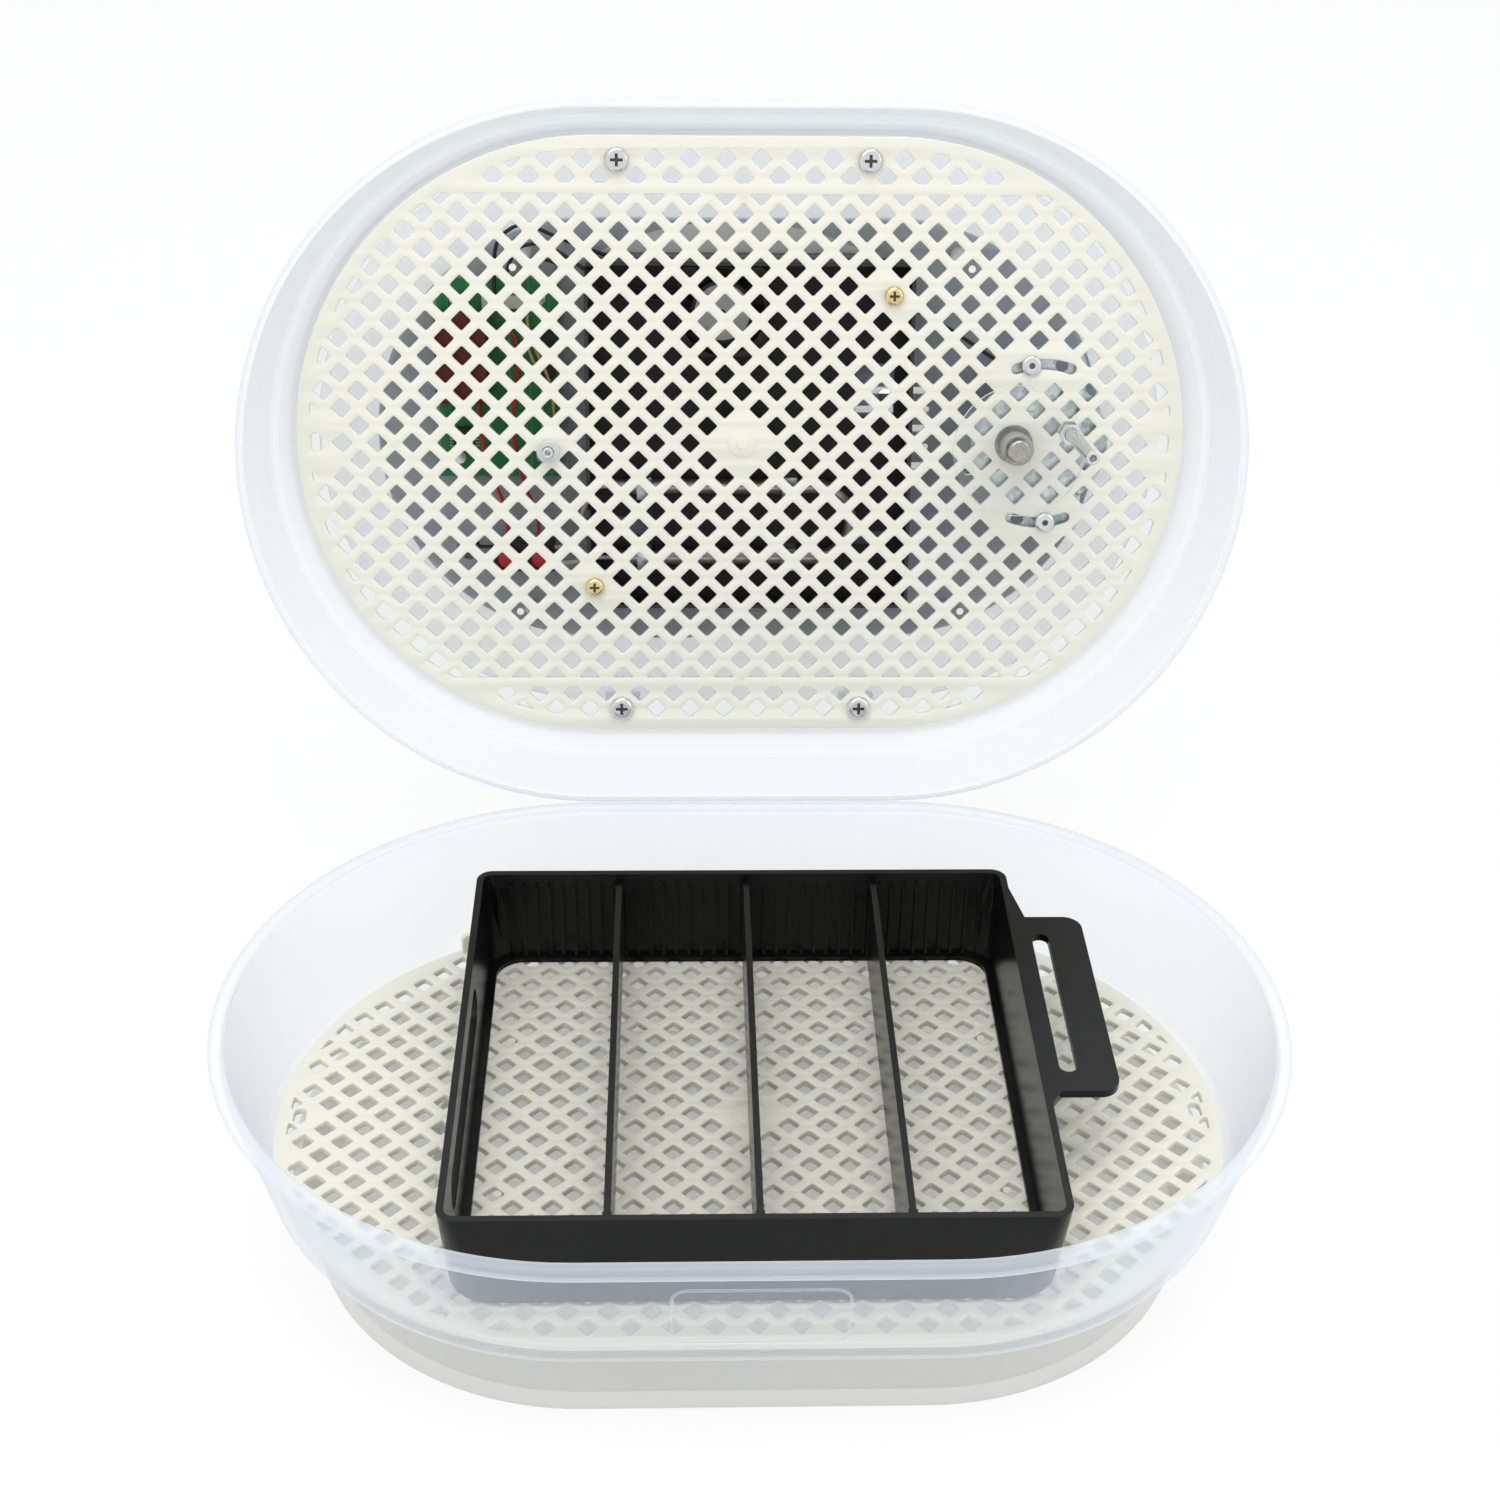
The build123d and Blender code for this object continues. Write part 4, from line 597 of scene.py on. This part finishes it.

tub_profile = rounded(
    [(98.5, 0), (101.5, 0), (107.5, 34), (115.5, 38), (SHOULDER_R, SHOULDER_Z), (128.61, 89.08)],
    [0, 1.6, 1.6, 2.2, 3, 0],
)
tub_profile += arc((TUB_RIM_R, TUB_RIM_Z), TUB_BEAD_R, -103, 167, 18)[1:]
tub_profile += rounded(
    [(126.38, 92.69), (114.31, FLOOR_LOW), (110.51, FLOOR_LOW), (104.5, 34), (99.56, 6), (96, 6)],
    [0, 0.5, 1.2, 2, 2.4, 0],
)[1:]
tub = walled("tub", tub_profile, WORLD)
keep(tub, "base", MILK, "tub_plastic", "base_tub")
tub.data.materials.append(MILK_RIM)
tub.data.materials.append(MILK_FOOT_SHADE)
# Rim bead faces take the denser rim skin; the foot's faces take the skin with painted shade.
for face in tub.data.polygons:
    if face.center.z > RIM_LOOK_FROM:
        face.material_index = 1
    elif face.center.z < FOOT_SHADE_TO:
        face.material_index = 2

bm = bmesh.new()
ring_wall(bm, [(58, 6), (57.8, 35.4), (57.3, 36), (56.2, 36), (55.8, 35.4), (55.6, 6)])
keep(from_bmesh("tub_water_rib", bm, WORLD, 45), "base", MILK, "tub_plastic", "base_tub")

# The thin outline of a panel, raised on the front wall: width, height and corner radius of its two edges.
PANEL_OUTER, PANEL_INNER = (58, 33, 6), (55.8, 30.8, 4.9)
PANEL_Z = 66
panel_out = Vector((0, -1, -SLOPE)).normalized()
panel_up = panel_out.cross(Vector((1, 0, 0)))
panel_place = MM @ Matrix(
    (
        (1, 0, 0, 0),
        (0, panel_up.y, panel_out.y, -(SHOULDER_R + SLOPE * (PANEL_Z - SHOULDER_Z))),
        (0, panel_up.z, panel_out.z, PANEL_Z),
        (0, 0, 0, 1),
    )
)
panel = outline_plate(
    "tub_panel_outline", rounded_rectangle(*PANEL_OUTER), [rounded_rectangle(*PANEL_INNER)],
    -0.1, 0.55, bevel=0.3, matrix=panel_place,
)
keep(panel, "base", MILK, "tub_plastic")

# ------------------------------------------------------------------ lid shell
LID_BEAD_R = 3.3
RIM_LOOK_DEPTH = 2.8  # depth into the lid where its looks change
ROOF_R = 115.4

lid_profile = rounded(
    [(ROOF_R, -ROOF_LOW), (116, -ROOF_LOW), (122.4, 63), (128.2, 37.5), (129.8, 36), (134.54, 3.19)],
    [0, 0.5, 3, 1, 1, 0],
)
lid_profile += [Vector((p.x, -p.y)) for p in arc((LID_RIM_R, 0), LID_BEAD_R, -75, 86, 12)[1:]]
lid_profile += rounded(
    [(133.88, -3.2), (128.2, 36), (126.6, 37.5), (120.8, 63), (115.5, -ROOF_HIGH), (ROOF_R, -ROOF_HIGH)],
    [0, 0.5, 0.5, 3, 0.1, 0],
)
shell = walled("lid_wall", lid_profile, LID, sign=-1, ends=False)
keep(shell, "lid", MILK, "tub_plastic", "lid_shell")
shell.data.materials.append(MILK_RIM)
for face in shell.data.polygons:
    if (TO_LID @ face.center).z > -RIM_LOOK_DEPTH:
        face.material_index = 1

# The roof's window over the board, the leads' hole, the three vents and the cover's screw holes.
roof_holes = [box_loop(-99, 23.5, 42, 73), circle(-114, -48.5, 5)]
roof_holes += [circle(60, y, 3) for y in (-16, 0, 16)]
roof_holes += [circle(x, y, 1.6, 14) for x in (-88, 88) for y in (-74, 74)]
roof = outline_plate("lid_roof", racetrack(ROOF_R), roof_holes, ROOF_LOW, ROOF_HIGH, bevel=0.1, matrix=LID)
keep(roof, "lid", MILK_ROOF, "tub_plastic", "lid_shell")

PILLAR = [(4.6, ROOF_HIGH), (4.6, -50.7), (4.1, -50.15), (1.95, -50.15), (1.95, -59.1)]
FIN_FROM, FIN_TO, FIN_HALF = 4.4, 7.4, 0.6  # how far a pillar's fins reach, and half their thickness
FIN_INNER_Z, FIN_OUTER_Z = -51.5, -63
FIN_LIMIT = 114.8  # no fin where it would run into the wall

bm = bmesh.new()
for x, y in GRID_SCREWS:
    lathe(bm, PILLAR, (x, y), 24)
    for turn in (0, 90, 180, 270):
        a = math.radians(turn)
        side = Vector((-math.sin(a), math.cos(a))) * FIN_HALF
        near, far = [Vector((x + reach * math.cos(a), y + reach * math.sin(a))) for reach in (FIN_FROM, FIN_TO)]
        if abs(far.y) > FIN_LIMIT:
            continue
        foot = [near - side, far - side, far + side, near + side]
        tops = (FIN_INNER_Z, FIN_OUTER_Z, FIN_OUTER_Z, FIN_INNER_Z)
        low = [bm.verts.new((p.x, p.y, ROOF_HIGH)) for p in foot]
        high = [bm.verts.new((p.x, p.y, z)) for p, z in zip(foot, tops)]
        join_rings(bm, low, high)
        bm.faces.new(high)
keep(from_bmesh("lid_pillars", bm, LID, 40), "lid", MILK, "tub_plastic", "lid_shell")


# ------------------------------------------------------------------ lattice plates
STEP = 14.06 / 2
HOLE = 6  # side of a square hole
HOLE_SOFTNESS = 0.9
SMALLEST_HOLE = 5  # square millimetres


def clip(poly, region):
    """Outline cut by a convex anticlockwise region."""
    for a, b in zip(region, region[1:] + region[:1]):
        edge = b - a
        kept = []
        for p, q in zip(poly, poly[1:] + poly[:1]):
            here = edge.x * (p.y - a.y) - edge.y * (p.x - a.x)
            there = edge.x * (q.y - a.y) - edge.y * (q.x - a.x)
            if here >= 0:
                kept.append(p)
            if here * there < 0:
                kept.append(p.lerp(q, here / (here - there)))
        poly = kept
        if len(poly) < 3:
            return []
    return poly


def area(loop):
    return abs(sum(p.x * q.y - q.x * p.y for p, q in zip(loop, loop[1:] + loop[:1]))) / 2


def lattice(radius, spots, rails=()):
    """Outlines of the lattice's square holes inside a racetrack, between its rails and off its solid spots."""
    region = racetrack(radius, 40)
    bands = [box_loop(0, 0, 999, 999)]
    if rails:
        low, high = rails
        bands = [box_loop(0, 0, 999, 2 * low)]
        bands += [box_loop(0, side * (high + 100), 999, 200) for side in (-1, 1)]
    reach = HOLE / math.sqrt(2)
    loops = []
    for column in range(-40, 41):
        for row in range(-24, 25):
            x, y = column * STEP, row * STEP
            past = max(abs(x) - HALF, 0)
            if (column + row) % 2 == 0 or abs(column) + abs(row) == 1 or math.hypot(past, y) > radius + 5:
                continue
            if any((x - a) ** 2 + (y - b) ** 2 < r**2 for a, b, r in spots):
                continue
            hole = [Vector((x + reach, y)), Vector((x, y + reach)), Vector((x - reach, y)), Vector((x, y - reach))]
            if math.hypot(past, y) > radius - HOLE:
                hole = clip(hole, region)
            for band in bands:
                part = clip(hole, band) if len(hole) > 2 else []
                if len(part) > 2 and area(part) > SMALLEST_HOLE:
                    loops.append(soft_loop(part, HOLE_SOFTNESS))
    return loops


# Each plate has an oval hole in a solid spot at either end.
END_INSET, END_SPOT_R, END_OVAL = 8, 8, (8, 4.6)
PLATE_BEVEL = 0.35

FLOOR_GAP = 0.6
FLOOR_R = SHOULDER_R + SLOPE * (FLOOR_LOW - SHOULDER_Z) - TUB_WALL - FLOOR_GAP
floor_ends = [(s * (HALF + FLOOR_R - END_INSET), 0) for s in (-1, 1)]
floor_holes = lattice(FLOOR_R - 4, [(x, y, END_SPOT_R) for x, y in floor_ends])
floor_holes += [oval(x, y, *END_OVAL) for x, y in floor_ends]
plate = outline_plate("floor_lattice", racetrack(FLOOR_R), floor_holes, FLOOR_LOW, FLOOR_HIGH, bevel=PLATE_BEVEL)
keep(plate, "floor_grid", CREAM, "cream_plastic", "floor_grid")

# The tab that lifts the plate out stands upright on the left end's rim.
TAB_ANGLE, TAB_INSET, TAB_HALF = 115, 1.6, 1.2
TAB_LOOP = [(0.2, -7.5), (-6.5, -7.5), (-8, -6), (-8, 6), (-6.5, 7.5), (0.2, 7.5)]
a = math.radians(TAB_ANGLE)
seat = FLOOR_R - TAB_INSET
tab_centre = Vector((-HALF + seat * math.cos(a), seat * math.sin(a), FLOOR_HIGH))
tab_place = (
    MM @ Matrix.Translation(tab_centre) @ Matrix.Rotation(a, 4, "Z") @ Matrix.Rotation(math.pi / 2, 4, "Y")
)
tab = outline_plate("floor_lattice_tab", TAB_LOOP, [], -TAB_HALF, TAB_HALF, bevel=0.3, matrix=tab_place)
keep(tab, "floor_grid", CREAM, "cream_plastic", "floor_grid")

bm = bmesh.new()
lathe(bm, [(6, 43.99), (5.6, 44.25), (2.2, 44.4), (1.9, 44.7), (0, 44.75)])
pips(bm, [(s * 90, t * 42.2, 43.98) for s in (-1, 1) for t in (-1, 1)], 1.6, 0.12)
keep(from_bmesh("floor_lattice_marks", bm), "floor_grid", CREAM, "cream_plastic", "floor_grid")

# The motor's two arc slots, about a centre on the shaft's row.
SLOT_CENTRE, SLOT_R, SLOT_HALF = (122, 0), 32.5, 2.2
SLOT_MIDDLES, SLOT_SWEEP = (90, 270), 20  # degrees


def on_slot(angle):
    """Place on the slots' middle line."""
    a = math.radians(angle)
    return (SLOT_CENTRE[0] + SLOT_R * math.cos(a), SLOT_R * math.sin(a))


def arc_slot(middle):
    """Outline of a slot, from its outer edge round both ends."""
    start, end = middle - SLOT_SWEEP, middle + SLOT_SWEEP
    return (
        arc(SLOT_CENTRE, SLOT_R + SLOT_HALF, start, end, 16)
        + arc(on_slot(end), SLOT_HALF, end, end + 180, 8)[1:-1]
        + arc(SLOT_CENTRE, SLOT_R - SLOT_HALF, end, start, 16)
        + arc(on_slot(start), SLOT_HALF, start + 180, start + 360, 8)[1:-1]
    )


GRID_R = 121.2
RAILS = (99, 103)  # the lattice is plain between these distances from the middle
SCREW_SPOT_R, HOUSING_SPOT_R, SHAFT_SPOT_R, PROBE_SPOT_R, SLOT_SPOT_R = 8.6, 8, 13, 6, 6.5

grid_ends = [(s * (HALF + GRID_R - END_INSET), 0) for s in (-1, 1)]
spots = [(x, y, SCREW_SPOT_R) for x, y in GRID_SCREWS] + [(x, y, HOUSING_SPOT_R) for x, y in HOUSING_SCREWS]
spots += [(*SHAFT, SHAFT_SPOT_R), (*PROBE_HOLE, PROBE_SPOT_R)]
spots += [(x, y, END_SPOT_R) for x, y in grid_ends]
spots += [
    (*on_slot(middle + turn), SLOT_SPOT_R) for middle in SLOT_MIDDLES for turn in (-SLOT_SWEEP, 0, SLOT_SWEEP)
]
grid_holes = lattice(GRID_R - 5, spots, RAILS)
grid_holes += [oval(x, y, *END_OVAL) for x, y in grid_ends]
grid_holes += [circle(*SHAFT, 7.7, 32), circle(*PROBE_HOLE, 2.25, 16)]
grid_holes += [circle(x, y, 2.1, 14) for x, y in GRID_SCREWS]
grid_holes += [circle(x, y, 1.8, 14) for x, y in HOUSING_SCREWS]
grid_holes += [arc_slot(middle) for middle in SLOT_MIDDLES]
plate = outline_plate("lid_lattice", racetrack(GRID_R), grid_holes, GRID_LOW, GRID_HIGH, bevel=PLATE_BEVEL, matrix=LID)
keep(plate, "lid", CREAM, "cream_plastic", "lid_grid")

bm = bmesh.new()
lathe(bm, [(6, -47.81), (5.5, -47.55), (2.4, -47.35), (2.1, -47.0), (0, -46.95)])
marks = [(x, y) for x in (-91.4, 91.4) for y in (-70.3, 70.3)] + [(-140.6, 0.0), (0.0, -98.4), (0.0, 98.4)]
pips(bm, [(x, y, -47.82) for x, y in marks], 1.5, 0.15)
keep(from_bmesh("lid_lattice_marks", bm, LID), "lid", CREAM, "cream_plastic", "lid_grid")

# ------------------------------------------------------------------ tray, dividers and small hardware
# CAD nodes shown with rounded edges: body, material, slot and width of the edges.
SOFTENED = {
    "egg_tray": ("egg_tray", TRAY_BLACK, "black_gloss", 0.5),
    "divider_1": ("divider_1", TRAY_BLACK, "black_gloss", 0.35),
    "divider_2": ("divider_2", TRAY_BLACK, "black_gloss", 0.35),
    "divider_3": ("divider_3", TRAY_BLACK, "black_gloss", 0.35),
    "grid_screws": ("lid", STEEL, "zinc_steel", 0.15),
    "housing_screws": ("lid", BRASS, "brass_plate", 0.12),
    "rivets": ("lid", STEEL, "zinc_steel", 0.15),
    "crank_hub": ("crank", NICKEL, "zinc_steel", 0.4),
    "crank_screw": ("crank", NICKEL, "zinc_steel", 0.2),
    "crank_pin": ("crank", STEEL, "zinc_steel", 0.3),
    "crank_nuts": ("crank", STEEL, "zinc_steel", 0.35),
    "crank_disc": ("crank", CLEAR, "clear_plastic", 0.2),
    "motor_bracket": ("lid", ZINC, "galvanised", 0.15),
    "motor_can": ("lid", ZINC, "galvanised", 0.6),
    "relay": ("lid", RELAY, "relay_brown", 0.4),
    "terminal_block": ("lid", BLACK, "black_matt", 0.5),
    "fan_housing": ("lid", BLACK, "black_matt", 0.4),
    "fan_frame": ("lid", BLACK, "black_matt", 0.4),
    "probe": ("lid", STEEL, "zinc_steel", 0.2),
    "probe_clip": ("lid", CLEAR_EDGE, "clear_plastic", 0.4),
    "power_inlet": ("lid", BLACK, "black_matt", 0.3),
}
DRESSED = {}
for node, (body, material, slot, width) in SOFTENED.items():
    DRESSED[node] = keep(soften(node + "_dressed", node, width), body, material, slot, node)

SCREW_CROWN = 45.2  # depth of the screws' crowns in the lid


def shade_recess(piece, places, half_width, reach):
    """Darken the cross recess in each screw's crown; places are (x, y) in the lid."""
    piece.data.materials.append(RECESS)
    for face in piece.data.polygons:
        p = TO_LID @ face.center
        for x, y in places:
            dx, dy = abs(p.x - x), abs(p.y - y)
            inside = min(dx, dy) < half_width and max(dx, dy) < reach
            if inside and -SCREW_CROWN - 1.5 < p.z < -SCREW_CROWN - 0.12:
                face.material_index = 1


shade_recess(DRESSED["grid_screws"], GRID_SCREWS, half_width=0.75, reach=2.7)
shade_recess(DRESSED["housing_screws"], HOUSING_SCREWS, half_width=0.65, reach=2.2)

disc = DRESSED["crank_disc"]
disc.data.materials.append(CLEAR_EDGE)
for face in disc.data.polygons:
    if abs(face.normal.dot(LID_OUT)) < 0.8:
        face.material_index = 1

# CAD nodes shown as they are.
PLAIN = {
    "fan_rotor": BLACK, "heater": TUBE, "heater_clips": ZINC, "control_board": GREEN, "board_screws": STEEL,
    "controller_chip": BLACK, "pin_header": PALE, "capacitors": BLACK, "terminal_caps": RED,
    "red_leads": RED, "fan_leads": BLACK_WIRE, "motor_lead": BLACK_WIRE, "probe_leads": YELLOW_WIRE,
    "heater_leads": WHITE_WIRE, "mains_leads": BLACK_WIRE, "motor_coil": BLACK, "motor_end_plate": ZINC,
    "top_cover": COVER, "cover_screws": STEEL, "display_window": CLEAR, "display_module": LCD,
    "tact_switches": BLACK, "button_1": BUTTON, "button_2": BUTTON, "button_3": BUTTON, "button_4": BUTTON,
    "inlet_pins": STEEL,
}
for node, material in PLAIN.items():
    NODES[node].data.materials.clear()
    NODES[node].data.materials.append(material)


def extent(node):
    """Lowest and highest corner of a node in the lid's own millimetres."""
    corners = [TO_LID @ v.co for v in NODES[node].data.vertices]
    return [[pick(c[i] for c in corners) for i in range(3)] for pick in (min, max)]


# ------------------------------------------------------------------ bare labels
# Two plain pale labels, seen through the lattice: one on the roof above the housing, one on the fan's hub.
ROOF_LABEL_CENTRE, ROOF_LABEL_R = (-3.5, -41.0), 127.5
ROOF_LABEL_LOW, ROOF_LABEL_HIGH = -70.55, -70.35
label_loop = arc(ROOF_LABEL_CENTRE, ROOF_LABEL_R, 64.5, 115.5, 24)
roof_label = outline_plate("roof_label", label_loop, [], ROOF_LABEL_LOW, ROOF_LABEL_HIGH, bevel=0.05, matrix=LID)
keep(roof_label, "lid", LABEL, "part_pale")

HUB_LABEL_R, HUB_HOLE_R, HUB_LABEL_THICKNESS = 11.2, 1.2, 0.12
hub_face = extent("fan_rotor")[1][2]
hub_label = outline_plate(
    "hub_label", circle(*FAN_AXIS, HUB_LABEL_R, 48), [circle(*FAN_AXIS, HUB_HOLE_R, 16)],
    hub_face, hub_face + HUB_LABEL_THICKNESS, bevel=0.04, matrix=LID,
)
keep(hub_label, "fan", LABEL, "part_pale")

# ------------------------------------------------------------------ the chip's legs
LEG_COUNT, LEG_PITCH, LEG_HALF, LEG_THICKNESS = 6, 1.27, 0.45 / 2, 0.2
chip_low, chip_high = extent("controller_chip")
chip_y = (chip_low[1] + chip_high[1]) / 2
leg_top, leg_foot = chip_low[2] + 0.9, chip_low[2] + 0.12
leg_line = [(0, leg_top), (0.5, leg_top), (0.9, leg_foot), (1.5, leg_foot)]
leg_section = [(-LEG_HALF, 0), (LEG_HALF, 0), (LEG_HALF, LEG_THICKNESS), (-LEG_HALF, LEG_THICKNESS)]
bm = bmesh.new()
for edge_x, outward in ((chip_low[0], -1), (chip_high[0], 1)):
    for i in range(LEG_COUNT):
        y = chip_y + (i - (LEG_COUNT - 1) / 2) * LEG_PITCH
        rows = [
            [bm.verts.new((edge_x + outward * reach, y + w, z + lift)) for w, lift in leg_section]
            for reach, z in leg_line
        ]
        for near, far in zip(rows, rows[1:]):
            join_rings(bm, near, far)
        bm.faces.new(rows[-1])
keep(from_bmesh("chip_legs", bm, LID, 20), "lid", SOLDER, "zinc_steel")

# ------------------------------------------------------------------ the display's figures
# Seven-segment figures: the segments lit in each, and each segment's middle, in figure sizes, and turn.
SEGMENTS = {"3": "abcdg", "5": "acdfg", "7": "abc", "8": "abcdefg"}
PLACES = {
    "a": (0, 2, 0), "b": (1, 1, 90), "c": (1, -1, 90), "d": (0, -2, 0), "e": (-1, -1, 90), "f": (-1, 1, 90),
    "g": (0, 0, 0),
}
SEGMENT_LENGTH, SEGMENT_WIDTH = 0.92, 0.2  # half of each, in figure sizes
INK_HEIGHT = 0.05


def digit(bm, number, x, y, size, height):
    """One seven-segment figure, read from outside the lid, where +X runs to the left."""
    long, thin = size * SEGMENT_LENGTH, size * SEGMENT_WIDTH
    shape = [
        (-long, 0), (-long + thin, thin), (long - thin, thin), (long, 0), (long - thin, -thin), (-long + thin, -thin)
    ]
    for name in SEGMENTS[number]:
        dx, dy, turn = PLACES[name]
        a = math.radians(turn)
        loop = []
        for u, v in shape:
            u, v = u * math.cos(a) - v * math.sin(a), u * math.sin(a) + v * math.cos(a)
            loop.append(bm.verts.new((x - (dx * size + u), y + dy * size + v, height)))
        bm.faces.new(loop)


# Each row: its figures, where the first stands from the screen's middle, their pitch and their size.
FIGURES = [("378", 15.0, 0.0, 8.0, 2.9), ("55", -11.5, -1.9, 5.4, 1.95)]
POINT_PLACE, POINT_SIZE = (3.0, -5.9), 0.8
screen_low, screen_high = extent("display_module")
screen_x = (screen_low[0] + screen_high[0]) / 2
screen_y = (screen_low[1] + screen_high[1]) / 2
ink_z = screen_low[2] - INK_HEIGHT
bm = bmesh.new()
for text, first_x, first_y, pitch, size in FIGURES:
    for i, number in enumerate(text):
        digit(bm, number, screen_x + first_x - i * pitch, screen_y + first_y, size, ink_z)
point = box_loop(screen_x + POINT_PLACE[0], screen_y + POINT_PLACE[1], POINT_SIZE, POINT_SIZE)
bm.faces.new([bm.verts.new((p.x, p.y, ink_z)) for p in point])
keep(from_bmesh("screen_digits", bm, LID, 20), "lid", LCD_INK, "black_matt")

# ------------------------------------------------------------------ finish
bpy.context.view_layer.update()
